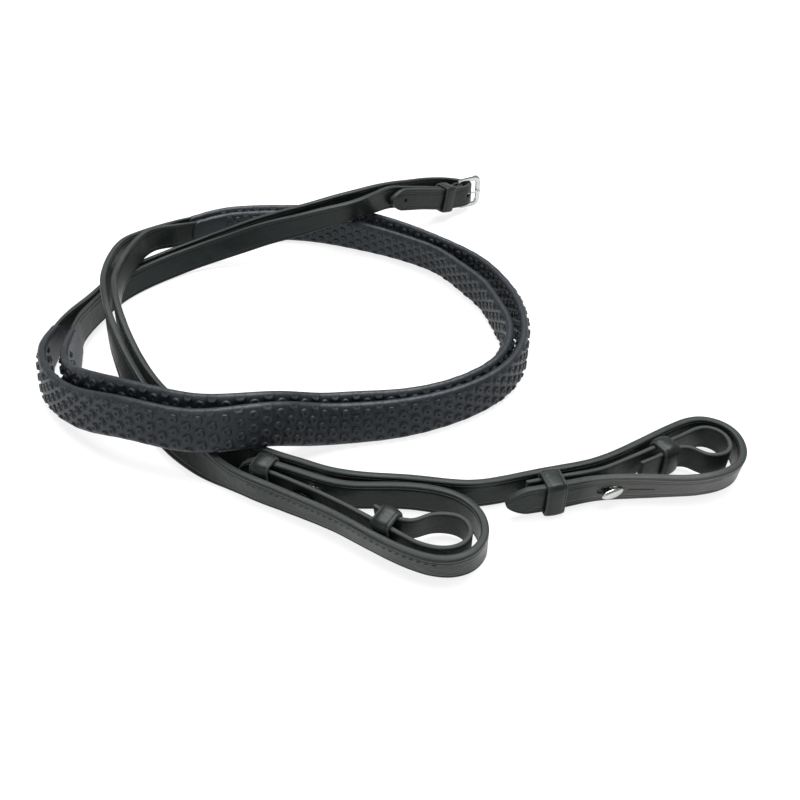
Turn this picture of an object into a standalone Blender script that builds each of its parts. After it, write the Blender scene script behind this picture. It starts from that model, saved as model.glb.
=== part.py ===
"""Leather riding reins with rubber grips, coiled on a table with their straps on edge.

Each rein runs from the centre buckle through its rubber grip to a hook-stud billet.
Lengths in this file are in millimetres and angles in degrees until MM turns them
into metres. A route is a list of (x, y, height of the strap's centre line, lean),
chosen by hand. A positive lean tips the top edge to the left of the strap's run.
"""
import math

import bmesh
import bpy
import numpy as np
from mathutils import Matrix, Vector

MM = 0.001
GAP = 0.3                    # clearance between pieces that touch

STRAP_WIDTH = 16.5           # 5/8 inch reins
STRAP_THICKNESS = 3.8
CORE_THICKNESS = 2.6         # where the grip covers the strap
TURN_THICKNESS = 2.0         # where the strap turns round the buckle bar
TURN_LENGTH = 50.0           # of the thin end that turns back from the bar
SKIVE_LENGTH = 12.0          # stretch over which the thickness changes
TIP_LENGTH = 12.0            # pointed end of a strap
TIP_BLUNT = 0.06             # share of TIP_LENGTH cut off the very point

GRIP_WIDTH = 24.5
GRIP_THICKNESS = 5.4
GRIP_EDGE_SHARE = 0.6        # thickness of its edges as a share of the whole
GRIP_FLAT_SHARE = 0.88       # how far out its faces stay flat

LINER_WIDTH = 14.0
LINER_THICKNESS = 2.4

KEEPER_WALL = 1.4
KEEPER_LENGTH = 10.0
KEEPER_PLAY = 0.6            # between a keeper and the faces of the straps it holds
KEEPER_BEVEL = 1.0

WIRE_RADIUS = 1.3            # buckle frame, whose one side is the bar
FRAME_HEIGHT = 20.0          # between the wire's centre lines
FRAME_LENGTH = 14.0
FRAME_CORNER = 1.7
CORNER_POINTS = 4
FRAME_TURN = 25.0            # heading of the frame, from +X
BAR = (59.5, 183.0, 14.2)    # centre of the buckle bar

PRONG_RADIUS = 0.9
PRONG_LOOP = (20, 270, 12)   # first angle, last angle and points of its loop round the bar
PRONG_OVERHANG = 1.4         # past the frame's far side
PRONG_SLOT = (9.0, 9.0, 3.0)     # in the strap that turns round the bar
PRONG_HOLE = (11.6, 4.8, 3.2)    # in the strap that the prong goes through
PRONG_HOLE_PLACE = (8.0, 0.4)    # of its middle, past the bar and past the prong

CENTRE = (-5.0, -0.6, 0.0)   # middle of the reins' box on the table, moved to the origin

STUD_OVAL = (1.35, 0.85)     # along and across the strap, from a round stud
STUD_DOME = 1.5
STUD_RIM = 0.4
STUD_PLAY = 2.0              # between the stud's head and the strap it holds
STUD_HEAD_RADIUS = 4.0
STUD_NECK_RADIUS = 1.6
STUD_BASE_RADIUS = 4.0
STUD_BASE_HEIGHT = 0.8
SLOT_LENGTH = 13.0
SLOT_HEIGHT = 4.4

# A station stands at least this often along a route, and this often as it turns.
STATION_LENGTH = 9.0
STATION_TURN = 14.0

# The rein with the buckle, from its turned end on the bar to the tip of its billet.
BUCKLE_REIN = [
    (38.6, 165.9, 19.9, 0), (45.0, 171.3, 17.5, 0), (51.0, 176.4, 15.9, 0),
    (55.0, 180.8, 14.9, 0), (57.8, 184.9, 14.4, 0), (60.7, 185.3, 14.2, 0),
    (62.0, 182.4, 14.2, 0), (59.0, 179.0, 14.6, 0), (53.4, 174.8, 15.7, 0),
    (45.8, 168.6, 17.9, 0), (37.5, 162.5, 20.8, 0), (29.9, 156.1, 23.9, 0),
    (14.4, 143.4, 29.8, 0), (4.4, 134.9, 33.2, 0), (-4.6, 125.6, 34.2, 6),
    (-17.0, 114.4, 34.4, 14), (-31.0, 106.0, 34.0, 15), (-45.0, 101.5, 32.0, 10),
    (-59.0, 98.5, 29.0, 2), (-77.0, 97.0, 25.0, -6), (-102.0, 95.0, 17.5, -12),
    (-131.0, 87.5, 10.5, -12), (-155.0, 69.5, 8.6, -10), (-174.0, 45.0, 8.6, -6),
    (-182.5, 18.0, 9.4, -3), (-184.5, -12.0, 12.4, -3), (-180.5, -38.0, 12.9, -6),
    (-174.5, -62.0, 15.6, 8), (-156.0, -82.5, 22.4, 12), (-132.5, -98.0, 28.0, 12),
    (-108.5, -106.5, 28.7, 12), (-88.0, -109.0, 28.8, 12), (-68.0, -106.6, 28.8, 12),
    (-50.5, -100.6, 24.4, 12), (-31.0, -93.0, 15.8, 12), (-12.0, -88.8, 12.9, 10),
    (10.5, -86.0, 12.6, 6), (32.0, -79.8, 12.5, 2), (53.3, -67.8, 12.4, 0),
    (68.8, -52.6, 12.4, 0), (76.8, -33.8, 12.4, 0), (78.5, -12.0, 12.4, 0),
    (74.5, 8.0, 12.4, 2), (68.0, 31.0, 12.5, 5), (56.0, 52.5, 12.6, 9),
    (40.0, 76.0, 12.7, 13), (20.0, 92.5, 12.7, 14), (-2.0, 106.0, 12.7, 10),
    (-24.0, 117.0, 12.6, 6), (-47.0, 126.0, 12.5, 4), (-72.0, 131.0, 12.5, 3),
    (-98.0, 130.0, 12.5, 3), (-121.0, 123.5, 13.6, 2), (-138.0, 111.0, 16.8, 0),
    (-151.0, 97.0, 21.2, 0), (-160.5, 84.0, 25.0, 0), (-165.5, 70.0, 25.9, 0),
    (-168.0, 48.0, 26.0, 0), (-167.0, 20.0, 26.0, 0), (-160.0, -5.0, 25.6, 5),
    (-150.0, -29.0, 22.0, 12), (-139.0, -49.5, 15.6, 20), (-127.0, -67.0, 10.4, 30),
    (-112.5, -83.5, 8.4, 40), (-96.0, -98.5, 7.8, 44), (-80.0, -111.5, 7.8, 45),
    (-69.0, -118.8, 7.9, 42), (-63.0, -121.8, 8.2, 34), (-57.0, -122.9, 8.5, 14),
    (-48.0, -125.6, 8.4, 0),
    (-38.0, -129.8, 8.4, 0),
    (-22.0, -136.5, 8.4, 0), (-4.0, -140.3, 8.4, 0), (14.0, -141.8, 8.4, 0),
    (32.0, -144.3, 8.4, 0), (47.0, -145.8, 8.4, 0), (66.0, -142.3, 8.4, 0),
    (87.0, -136.6, 8.4, 0), (107.0, -131.3, 8.4, 0), (124.0, -123.3, 8.4, 0),
    (142.0, -112.3, 8.4, 0), (157.0, -103.3, 8.4, 0), (173.0, -98.3, 8.4, 0),
    (184.5, -105.0, 8.4, 0), (187.5, -117.0, 8.4, 0), (182.5, -129.5, 8.5, 6),
    (169.0, -138.0, 8.6, 12), (150.0, -141.0, 8.7, 14), (128.0, -141.5, 9.0, 6),
    (108.0, -143.6, 9.5, 3), (91.0, -148.4, 10.0, 0), (77.0, -151.8, 10.1, 0),
    (63.5, -154.0, 10.1, 0)]

# The rein with the pointed end, from its point through the buckle to its billet.
POINTED_REIN = [
    (6.4, 130.8, 32.9, 0), (17.4, 139.9, 29.3, 0), (32.7, 152.7, 23.9, 0),
    (48.0, 165.5, 17.9, 0), (55.7, 172.0, 15.8, 0), (63.0, 178.0, 14.4, 0),
    (67.0, 181.8, 14.2, 0), (68.4, 185.2, 14.2, 0), (67.3, 188.8, 14.2, 0),
    (62.5, 191.6, 14.2, 0), (56.0, 191.6, 15.0, 0), (47.0, 188.0, 17.2, 0),
    (37.0, 180.5, 20.4, 0), (24.0, 167.0, 25.2, 0), (11.0, 152.0, 30.2, 2),
    (-2.0, 139.5, 33.8, 5), (-16.0, 130.0, 34.6, 8), (-30.0, 121.5, 34.6, 8),
    (-44.0, 115.0, 33.0, 6), (-60.0, 109.8, 30.2, 0), (-82.0, 106.6, 24.6, -8),
    (-106.0, 103.0, 17.4, -12), (-134.0, 94.5, 10.4, -12), (-159.0, 75.0, 8.7, -10),
    (-179.0, 48.5, 8.7, -6), (-188.0, 20.0, 9.6, -3), (-194.0, -6.0, 12.3, 0),
    (-196.0, -27.0, 12.5, 2), (-193.0, -49.0, 13.6, 8), (-181.0, -71.0, 16.8, 10),
    (-156.5, -93.5, 23.2, 12), (-129.5, -107.5, 28.3, 12), (-108.5, -114.7, 28.8, 12),
    (-88.0, -117.2, 28.9, 12), (-67.0, -115.0, 29.2, 12), (-50.5, -109.0, 24.6, 12),
    (-31.0, -101.6, 15.4, 12), (-12.0, -97.2, 12.9, 10), (13.0, -94.0, 12.6, 6),
    (35.0, -86.6, 12.5, 2), (57.8, -73.6, 12.4, 0), (74.6, -57.0, 12.4, 0),
    (84.4, -37.2, 12.4, 0), (88.0, -15.0, 12.4, 0), (86.5, 11.0, 12.4, 0),
    (80.0, 36.0, 12.4, 2), (67.5, 62.0, 12.5, 4), (50.0, 82.5, 12.5, 5),
    (28.0, 102.5, 12.5, 5), (6.0, 119.5, 12.5, 5), (-16.0, 131.5, 12.5, 4),
    (-42.0, 139.0, 12.5, 3), (-70.0, 140.5, 12.5, 3), (-98.0, 139.5, 12.5, 2),
    (-124.0, 134.0, 12.8, 2), (-145.0, 122.0, 14.6, 0), (-160.0, 104.5, 17.8, 0),
    (-170.5, 86.0, 21.6, 0), (-175.8, 69.0, 24.6, 0), (-177.0, 50.0, 26.0, 0),
    (-176.0, 31.0, 26.0, 0), (-172.0, 12.0, 26.0, 0), (-164.5, -10.0, 25.6, 5),
    (-154.5, -33.5, 21.2, 14), (-142.5, -56.0, 14.2, 26), (-129.0, -77.0, 8.8, 40),
    (-114.5, -96.0, 7.8, 44), (-101.0, -111.0, 8.1, 40), (-89.0, -122.0, 8.5, 30),
    (-76.0, -132.0, 8.4, 4), (-55.0, -144.3, 8.4, -5), (-35.0, -154.6, 8.5, -9),
    (-15.0, -166.0, 8.6, -12), (4.0, -179.0, 8.6, -14), (19.0, -187.6, 8.7, -14),
    (33.0, -191.3, 8.7, -13), (45.0, -187.3, 8.6, -7), (51.5, -177.0, 8.4, 0),
    (49.0, -163.5, 8.4, 0), (40.0, -154.0, 8.4, 0), (26.0, -149.0, 8.4, 0),
    (8.0, -147.0, 8.4, 0), (-10.0, -146.8, 8.4, 0), (-26.0, -143.4, 9.2, 0),
    (-42.0, -137.0, 10.0, 0), (-56.0, -131.8, 10.1, 0), (-67.5, -129.2, 10.1, 0)]

# The liners inside the billets, from the fixed keeper round the bit loop and back.
RIGHT_LINER = [
    (74.0, -146.2, 10.1, 0), (87.0, -143.0, 10.1, 0), (100.0, -140.0, 10.1, 0),
    (112.0, -136.2, 9.4, 0), (122.0, -131.0, 8.9, 0), (131.0, -126.0, 8.9, 0),
    (141.0, -120.5, 8.9, 0), (151.0, -115.0, 8.9, 0), (160.0, -110.0, 8.9, 0),
    (167.0, -106.0, 8.9, 0), (173.5, -104.4, 8.9, 0), (179.5, -107.5, 8.9, 0),
    (182.0, -114.0, 8.9, 0), (180.0, -121.5, 8.9, 0), (174.0, -125.2, 8.9, 0),
    (167.0, -124.4, 8.9, 0), (161.0, -120.2, 8.9, 0), (154.0, -120.1, 8.9, 0),
    (144.0, -125.6, 8.9, 0), (133.0, -131.6, 8.9, 0)]

LEFT_LINER = [
    (-61.0, -134.2, 10.1, 0), (-50.0, -139.3, 10.1, 0), (-38.0, -145.2, 9.6, 0),
    (-27.0, -151.0, 9.2, -2), (-17.0, -157.0, 9.4, -5), (-7.0, -163.4, 9.6, -7),
    (2.0, -169.6, 9.7, -8), (10.0, -175.0, 9.7, -9), (17.0, -179.8, 9.4, -10),
    (26.0, -183.8, 9.0, -12), (35.0, -184.6, 8.9, -11), (42.5, -181.0, 8.9, -6),
    (45.0, -174.5, 8.9, 0), (41.5, -168.0, 8.9, 0), (34.0, -165.4, 8.9, 2),
    (26.0, -166.8, 9.5, 4), (19.0, -170.0, 10.2, 6), (11.5, -168.4, 10.6, 8),
    (4.5, -163.4, 10.6, 8), (-4.0, -157.6, 10.4, 7)]

# Where each grip starts and ends along its rein: points (x, y) close to the strap.
BUCKLE_REIN_GRIP = ((-184.0, -17.0), (-139.0, 110.0))
POINTED_REIN_GRIP = ((-195.0, -12.0), (-146.0, 121.0))

# Points (x, y) on the straps that each billet's stud and keepers hold.
RIGHT_BILLET = {"stud": (113.0, -135.7), "slot": (115.5, -142.7), "fixed": (86.0, -143.2),
                "tip": (87.0, -149.4), "running": (147.0, -117.2), "back": (149.8, -122.4)}
LEFT_BILLET = {"stud": (-34.0, -147.3), "slot": (-31.0, -141.3), "fixed": (-55.0, -137.0),
               "tip": (-53.0, -132.2), "running": (5.2, -171.7), "back": (8.8, -166.4)}
TIP_AT_KEEPER = (49.5, 166.8)
TURN_AT_KEEPER = (45.3, 171.5)

LEATHER = ("leather", (0.012, 0.012, 0.013), 0.45, 0.0)
RUBBER = ("rubber", (0.014, 0.015, 0.018), 0.7, 0.0)
STEEL = ("steel", (0.75, 0.75, 0.74), 0.2, 1.0)


# Scene, materials and simple helpers

def clear_scene():
    for item in list(bpy.data.objects):
        bpy.data.objects.remove(item)


def collection(name):
    group = bpy.data.collections.new(name)
    bpy.context.scene.collection.children.link(group)
    return group


def finish(item, kind):
    """Gives the object a material of its own."""
    name, colour, roughness, metallic = kind
    made = bpy.data.materials.new(f"{item.name} {name}")
    made.use_nodes = True
    shader = made.node_tree.nodes["Principled BSDF"]
    shader.inputs["Base Color"].default_value = (*colour, 1.0)
    shader.inputs["Roughness"].default_value = roughness
    shader.inputs["Metallic"].default_value = metallic
    item.data.materials.append(made)


def add(name, data, group):
    item = bpy.data.objects.new(name, data)
    group.objects.link(item)
    return item


def mesh_from(name, shape):
    mesh = bpy.data.meshes.new(name)
    shape.to_mesh(mesh)
    shape.free()
    return mesh


def box(name, size, place, group):
    """A box of (length, depth, height) in millimetres, set by a matrix."""
    shape = bmesh.new()
    bmesh.ops.create_cube(shape, size=1.0)
    bmesh.ops.scale(shape, vec=Vector(size) * MM, verts=shape.verts)
    item = add(name, mesh_from(name, shape), group)
    item.matrix_world = place
    return item


def cut(item, cutter):
    cutter.hide_render = True
    cutter.display_type = "WIRE"
    change = item.modifiers.new("cut", "BOOLEAN")
    change.operation = "DIFFERENCE"
    change.solver = "EXACT"
    change.object = cutter


def place(centre, along, across):
    """A matrix with X along a strap, Z across its width and Y out of its left face."""
    left = across.cross(along).normalized()
    turn = Matrix((along.normalized(), left, across.normalized())).transposed().to_4x4()
    return Matrix.Translation(centre) @ turn


# Routes: a smooth line through the points, then a frame at each station

def spline_bends(values, steps):
    """Second derivatives of the natural cubic spline through the values."""
    count = len(values)
    system = np.eye(count)
    target = np.zeros_like(values)
    for i in range(1, count - 1):
        before, after = steps[i - 1], steps[i]
        system[i, i - 1:i + 2] = before, 2 * (before + after), after
        rise = (values[i + 1] - values[i]) / after
        target[i] = 6 * (rise - (values[i] - values[i - 1]) / before)
    return np.linalg.solve(system, target)


def smooth_route(points, pieces=24):
    """Points close together on the spline through a route, in metres."""
    values = np.array(points, float) * (MM, MM, MM, 1)
    steps = np.linalg.norm(np.diff(values[:, :3], axis=0), axis=1)
    bends = spline_bends(values, steps)
    fine = []
    for i, step in enumerate(steps):
        for part in np.arange(pieces) / pieces:
            near, far = 1 - part, part
            chord = values[i] * near + values[i + 1] * far
            sag = bends[i] * (near ** 3 - near) + bends[i + 1] * (far ** 3 - far)
            fine.append(chord + sag * step ** 2 / 6)
    fine.append(values[-1])
    return np.array(fine)


def stations(points):
    """Samples of the smooth route, closer together where it turns."""
    fine = smooth_route(points)
    moves = np.diff(fine[:, :3], axis=0)
    lengths = np.linalg.norm(moves, axis=1)
    heading = np.unwrap(np.arctan2(moves[:, 1], moves[:, 0]))
    turns = np.abs(np.diff(heading, prepend=heading[0]))
    share = lengths / (STATION_LENGTH * MM) + turns / math.radians(STATION_TURN)
    count = np.concatenate(([0.0], np.cumsum(share)))
    wanted = np.linspace(0, count[-1], round(count[-1]) + 1)
    return np.column_stack([np.interp(wanted, count, fine[:, k]) for k in range(4)])


def frames(points):
    """(centre, along, across) at each station; across runs up the strap's width."""
    samples = stations(points)
    made = []
    last = len(samples) - 1
    for i, sample in enumerate(samples):
        along = Vector(samples[min(i + 1, last)][:3] - samples[max(i - 1, 0)][:3]).normalized()
        left = Vector((-along.y, along.x, 0)).normalized()
        lean = math.radians(sample[3])
        across = along.cross(left) * math.cos(lean) + left * math.sin(lean)
        made.append((Vector(sample[:3]), along, across))
    return made


def distances(run):
    """Distance of each frame from the first, in millimetres."""
    made = [0.0]
    for before, after in zip(run, run[1:]):
        made.append(made[-1] + (after[0] - before[0]).length / MM)
    return made


def nearest(run, x, y):
    """Index of the frame closest to a point seen from above."""
    goal = Vector((x, y)) * MM
    return min(range(len(run)), key=lambda i: (run[i][0].xy - goal).length)


def frame_at(run, x, y):
    """The frame where the run passes closest to a point seen from above."""
    goal = Vector((x, y)) * MM
    spots = []
    for near, far in zip(run, run[1:]):
        step = (far[0] - near[0]).xy
        part = (goal - near[0].xy).dot(step) / step.length_squared
        part = min(1.0, max(0.0, part))
        spots.append(((near[0].lerp(far[0], part).xy - goal).length, part, near, far))
    _, part, near, far = min(spots, key=lambda spot: spot[0])
    along = near[1].lerp(far[1], part).normalized()
    return near[0].lerp(far[0], part), along, near[2].lerp(far[2], part).normalized()


# Straps: a grid along the frames, thickened on both sides

def ribbon(name, run, width, thickness, group, share=None, columns=2, edge=1.0, ends=(0, 0)):
    """A strap whose middle surface follows the run.

    share(distance) scales the thickness along the strap, edge scales it at the
    sides, and ends holds the length of the point at each end.
    """
    shape = bmesh.new()
    weight = shape.verts.layers.deform.verify()
    bmesh.ops.create_grid(shape, x_segments=len(run) - 1, y_segments=columns - 1, size=1.0)
    ordered = sorted(shape.verts, key=lambda v: (round(v.co.x, 5), v.co.y))
    reach = distances(run)
    for row, (centre, along, across) in enumerate(run):
        narrow = pointed(reach[row], ends[0]) * pointed(reach[-1] - reach[row], ends[1])
        for column in range(columns):
            vertex = ordered[row * columns + column]
            spread = column_place(column, columns) * width / 2 * narrow
            vertex.co = centre + across * spread * MM
            outer = edge if column in (0, columns - 1) else 1.0
            vertex[weight][0] = outer * (share(reach[row]) if share else 1.0)
    item = add(name, mesh_from(name, shape), group)
    item.vertex_groups.new(name="thickness")
    solid = item.modifiers.new("thickness", "SOLIDIFY")
    solid.thickness = thickness * MM
    solid.offset = 0.0
    solid.vertex_group = "thickness"
    return item


def column_place(column, columns):
    """Where a column stands between -1 and 1; inner columns stand near the edges."""
    if columns == 2:
        return (-1, 1)[column]
    return (-1, -GRIP_FLAT_SHARE, GRIP_FLAT_SHARE, 1)[column]


def pointed(distance, length):
    """Share of the full width at a distance from a pointed end."""
    if not length:
        return 1.0
    return math.sqrt(1 - (1 - min(1.0, TIP_BLUNT + distance / length)) ** 2)


def skive(stretches):
    """Share of STRAP_THICKNESS at a distance, thinner along (start, end, thickness)."""
    def share(distance):
        least = STRAP_THICKNESS
        for start, end, thickness in stretches:
            outside = max(start - distance, distance - end, 0.0)
            blend = min(1.0, outside / SKIVE_LENGTH)
            least = min(least, thickness + (STRAP_THICKNESS - thickness) * blend)
        return least / STRAP_THICKNESS
    return share


def grip(name, run, parts, cutters):
    """A rubber sleeve on the strap, open at both ends. The run goes past both ends."""
    sleeve = ribbon(name, run[1:-1], GRIP_WIDTH, GRIP_THICKNESS, parts, columns=4,
                    edge=GRIP_EDGE_SHARE)
    finish(sleeve, RUBBER)
    hollow = CORE_THICKNESS + 2 * GAP
    cut(sleeve, ribbon(f"{name} hollow", run, STRAP_WIDTH + 2 * GAP, hollow, cutters))


def rein(label, run, grip_ends, thin, ends, parts, cutters):
    """One rein strap with its grip; returns the strap's object."""
    first, last = (nearest(run, *end) for end in grip_ends)
    reach = distances(run)
    covered = (reach[first] - SKIVE_LENGTH / 2, reach[last] + SKIVE_LENGTH / 2, CORE_THICKNESS)
    strap = ribbon(f"{label}_strap", run, STRAP_WIDTH, STRAP_THICKNESS, parts,
                   share=skive([covered, *thin]), ends=ends)
    finish(strap, LEATHER)
    grip(f"{label}_rubber_grip", run[first - 1:last + 2], parts, cutters)
    return strap


# Keepers, studs and the buckle

def keeper(name, spot, depth, height, parts, cutters):
    """A leather loop whose opening is depth by height, round straps along spot's X."""
    wall = 2 * KEEPER_WALL
    loop = box(name, (KEEPER_LENGTH, depth + wall, height + wall), spot, parts)
    finish(loop, LEATHER)
    soft = loop.modifiers.new("soft edges", "BEVEL")
    soft.width = KEEPER_BEVEL * MM
    soft.segments = 2
    cut(loop, box(f"{name} opening", (2 * KEEPER_LENGTH, depth, height), spot, cutters))


def keeper_round(name, first, second, height, parts, cutters, level=False):
    """A keeper round two straps, each given as (run, half its thickness, (x, y))."""
    centre, along, across = frame_at(first[0], *first[2])
    if level:
        along, across = Vector((along.x, along.y, 0)), Vector((0, 0, 1))
    other = frame_at(second[0], *second[2])[0]
    left = across.cross(along).normalized()
    toward = (other - centre).dot(left) / MM
    depth = abs(toward) + first[1] + second[1] + 2 * KEEPER_PLAY
    middle = (toward + math.copysign(1, toward) * (second[1] - first[1])) / 2
    spot = place(centre + left * middle * MM, along, across)
    keeper(name, spot, depth, height, parts, cutters)


def turned(name, profile, spot, group, steps=16):
    """A turned solid round spot's Z from (radius, height) points, top first."""
    mesh = bpy.data.meshes.new(name)
    points = [(radius * MM, 0, height * MM) for radius, height in profile]
    mesh.from_pydata(points, [(i, i + 1) for i in range(len(points) - 1)], [])
    item = add(name, mesh, group)
    item.matrix_world = spot
    spin = item.modifiers.new("turn", "SCREW")
    spin.steps = steps
    spin.render_steps = steps
    spin.use_merge_vertices = True
    spin.merge_threshold = 1e-5
    return item


def hook_stud(label, liner, return_run, parts, cutters):
    """A stud riveted through the liner, its head outside the slot of the return strap.

    Returns cutters for the liner's hole and the strap's slot.
    """
    centre, along, across = liner
    outward = across.cross(along).normalized()
    apart = (return_run[0] - centre).dot(outward) / MM
    outward *= math.copysign(1, apart)
    turn = outward.to_track_quat("Z", "Y").to_matrix().to_4x4()
    spot = Matrix.Translation(centre) @ turn @ Matrix.Diagonal((*STUD_OVAL, 1, 1))
    face = LINER_THICKNESS / 2 + GAP
    foot = face + STUD_BASE_HEIGHT
    top = abs(apart) + STRAP_THICKNESS / 2 + STUD_PLAY + STUD_DOME
    shank = STUD_NECK_RADIUS - GAP
    dome = [(STUD_HEAD_RADIUS * math.sin(t), top + STUD_DOME * (math.cos(t) - 1))
            for t in np.linspace(0, math.pi / 2, 5)]
    neck = [(STUD_NECK_RADIUS, top - STUD_DOME - STUD_RIM), (STUD_NECK_RADIUS, foot),
            (STUD_BASE_RADIUS, foot), (STUD_BASE_RADIUS, face), (shank, face),
            (shank, -foot - GAP), (0, -foot - GAP)]
    finish(turned(f"{label}_hook_stud", dome + neck, spot, parts), STEEL)
    hole = STUD_NECK_RADIUS
    washer = [(hole, -face), (STUD_BASE_RADIUS, -face), (STUD_BASE_RADIUS, -foot),
              (hole, -foot), (hole, -face)]
    finish(turned(f"{label}_stud_washer", washer, spot, parts), STEEL)
    drill_profile = [(0, face), (hole, face), (hole, -face), (0, -face)]
    drill = turned(f"{label} stud hole", drill_profile, spot, cutters)
    slot = box(f"{label} stud slot", (SLOT_LENGTH, 3 * STRAP_THICKNESS, SLOT_HEIGHT),
               place(*return_run), cutters)
    return drill, slot


def wire(name, points, cyclic, radius, group):
    """A round wire along points in metres."""
    curve = bpy.data.curves.new(name, "CURVE")
    curve.dimensions = "3D"
    curve.bevel_depth = radius * MM
    curve.bevel_resolution = 2
    curve.use_fill_caps = not cyclic
    line = curve.splines.new("POLY")
    line.points.add(len(points) - 1)
    for point, position in zip(line.points, points):
        point.co = (*position, 1)
    line.use_cyclic_u = cyclic
    return add(name, curve, group)


def arc(centre_u, centre_v, radius, start, end, count):
    """Points (u, v) on an arc, in millimetres, between two angles in degrees."""
    angles = np.radians(np.linspace(start, end, count))
    return [(centre_u + radius * math.cos(a), centre_v + radius * math.sin(a)) for a in angles]


def buckle(parts):
    """Frame with its bar, and a prong; both turn about the bar."""
    heading = Matrix.Rotation(math.radians(FRAME_TURN), 4, "Z")
    pivot = Matrix.Translation(Vector(BAR) * MM) @ heading
    high = FRAME_HEIGHT / 2
    corners = ((FRAME_LENGTH, high, 0), (0, high, 90), (0, -high, 180),
               (FRAME_LENGTH, -high, 270))
    outline = []
    for u, v, start in corners:
        inset_u = u - math.copysign(FRAME_CORNER, u - FRAME_LENGTH / 2)
        inset_v = v - math.copysign(FRAME_CORNER, v)
        outline += arc(inset_u, inset_v, FRAME_CORNER, start, start + 90, CORNER_POINTS)
    centre_line = [(u * MM, 0, v * MM) for u, v in outline]
    frame = wire("buckle_frame", centre_line, True, WIRE_RADIUS, parts)
    frame.matrix_world = pivot
    finish(frame, STEEL)
    ring = WIRE_RADIUS + GAP + PRONG_RADIUS
    path = arc(0, 0, ring, *PRONG_LOOP)
    path += [(FRAME_LENGTH / 2, -ring), (FRAME_LENGTH + PRONG_OVERHANG, -ring)]
    prong = wire("buckle_prong", [(u * MM, v * MM, 0) for u, v in path], False, PRONG_RADIUS, parts)
    prong.matrix_world = pivot
    finish(prong, STEEL)
    return pivot, ring


def main():
    clear_scene()
    parts = collection("leather_reins")
    cutters = collection("cutters")
    buckle_run, pointed_run = frames(BUCKLE_REIN), frames(POINTED_REIN)
    right_run, left_run = frames(RIGHT_LINER), frames(LEFT_LINER)

    turn_end = (0.0, TURN_LENGTH, TURN_THICKNESS)
    buckle_strap = rein("buckle_rein", buckle_run, BUCKLE_REIN_GRIP, [turn_end],
                        (0, TIP_LENGTH), parts, cutters)
    pointed_strap = rein("pointed_rein", pointed_run, POINTED_REIN_GRIP, [],
                         (TIP_LENGTH, TIP_LENGTH), parts, cutters)
    pivot, ring = buckle(parts)
    cut(buckle_strap, box("prong slot", PRONG_SLOT, pivot, cutters))
    past_bar, past_prong = PRONG_HOLE_PLACE
    hole = pivot @ Matrix.Translation(Vector((past_bar, -ring - past_prong, 0)) * MM)
    cut(pointed_strap, box("prong hole", PRONG_HOLE, hole, cutters))

    half_strap, half_liner = STRAP_THICKNESS / 2, LINER_THICKNESS / 2
    strap_height, liner_height = STRAP_WIDTH + 2 * GAP, LINER_WIDTH + 2 * GAP
    billets = (("right", right_run, buckle_run, buckle_strap, RIGHT_BILLET),
               ("left", left_run, pointed_run, pointed_strap, LEFT_BILLET))
    for label, liner_run, run, strap, spots in billets:
        liner = ribbon(f"{label}_billet_liner", liner_run, LINER_WIDTH, LINER_THICKNESS, parts)
        finish(liner, LEATHER)
        held = frame_at(liner_run, *spots["stud"]), frame_at(run, *spots["slot"])
        drill, slot = hook_stud(label, *held, parts, cutters)
        cut(liner, drill)
        cut(strap, slot)
        keeper_round(f"{label}_fixed_keeper", (liner_run, half_liner, spots["fixed"]),
                     (run, half_strap, spots["tip"]), strap_height, parts, cutters, level=True)
        keeper_round(f"{label}_running_keeper", (liner_run, half_liner, spots["running"]),
                     (liner_run, half_liner, spots["back"]), liner_height, parts, cutters)
    keeper_round("buckle_keeper", (pointed_run, half_strap, TIP_AT_KEEPER),
                 (buckle_run, TURN_THICKNESS / 2, TURN_AT_KEEPER), strap_height, parts, cutters)
    for item in [*parts.objects, *cutters.objects]:
        item.location -= Vector(CENTRE) * MM


main()
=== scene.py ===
"""Leather riding reins with rubber grips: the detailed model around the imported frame.

Each strap, grip and liner is made flat first, in millimetres: how far along it, how far
up from its middle and how far out of its left face. Its track then bends the flat shape
to where it lies on the table. The tracks follow the routes of the CAD script, apart from
the front of the grips, which lies a few millimetres further forward.
"""

import math

import bmesh
import bpy
import numpy as np
from mathutils import Matrix, Vector


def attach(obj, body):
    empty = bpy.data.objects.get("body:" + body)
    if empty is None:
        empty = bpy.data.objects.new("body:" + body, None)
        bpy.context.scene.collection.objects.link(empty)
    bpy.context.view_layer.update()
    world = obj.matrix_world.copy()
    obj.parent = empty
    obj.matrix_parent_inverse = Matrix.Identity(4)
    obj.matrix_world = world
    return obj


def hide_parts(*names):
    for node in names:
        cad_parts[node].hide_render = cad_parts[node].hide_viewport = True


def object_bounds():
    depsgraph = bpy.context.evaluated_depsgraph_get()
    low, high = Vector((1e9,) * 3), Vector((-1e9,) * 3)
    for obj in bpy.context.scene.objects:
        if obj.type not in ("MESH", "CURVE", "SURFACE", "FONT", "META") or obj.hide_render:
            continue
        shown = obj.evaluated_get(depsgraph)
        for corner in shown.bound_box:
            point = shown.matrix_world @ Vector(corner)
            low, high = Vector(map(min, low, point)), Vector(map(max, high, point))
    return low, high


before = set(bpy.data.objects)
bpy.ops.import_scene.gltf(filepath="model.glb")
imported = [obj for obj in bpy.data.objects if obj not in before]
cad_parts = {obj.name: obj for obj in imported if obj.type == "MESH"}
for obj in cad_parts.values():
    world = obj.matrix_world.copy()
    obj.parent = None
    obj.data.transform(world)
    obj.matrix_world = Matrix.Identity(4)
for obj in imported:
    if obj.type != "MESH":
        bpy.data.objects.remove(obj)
CAD_BOX = [list(corner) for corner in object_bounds()]

MM = 0.001
CENTRE = (-5.0, -0.6, 0.0)   # middle of the reins' box on the table, moved to the origin

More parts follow.
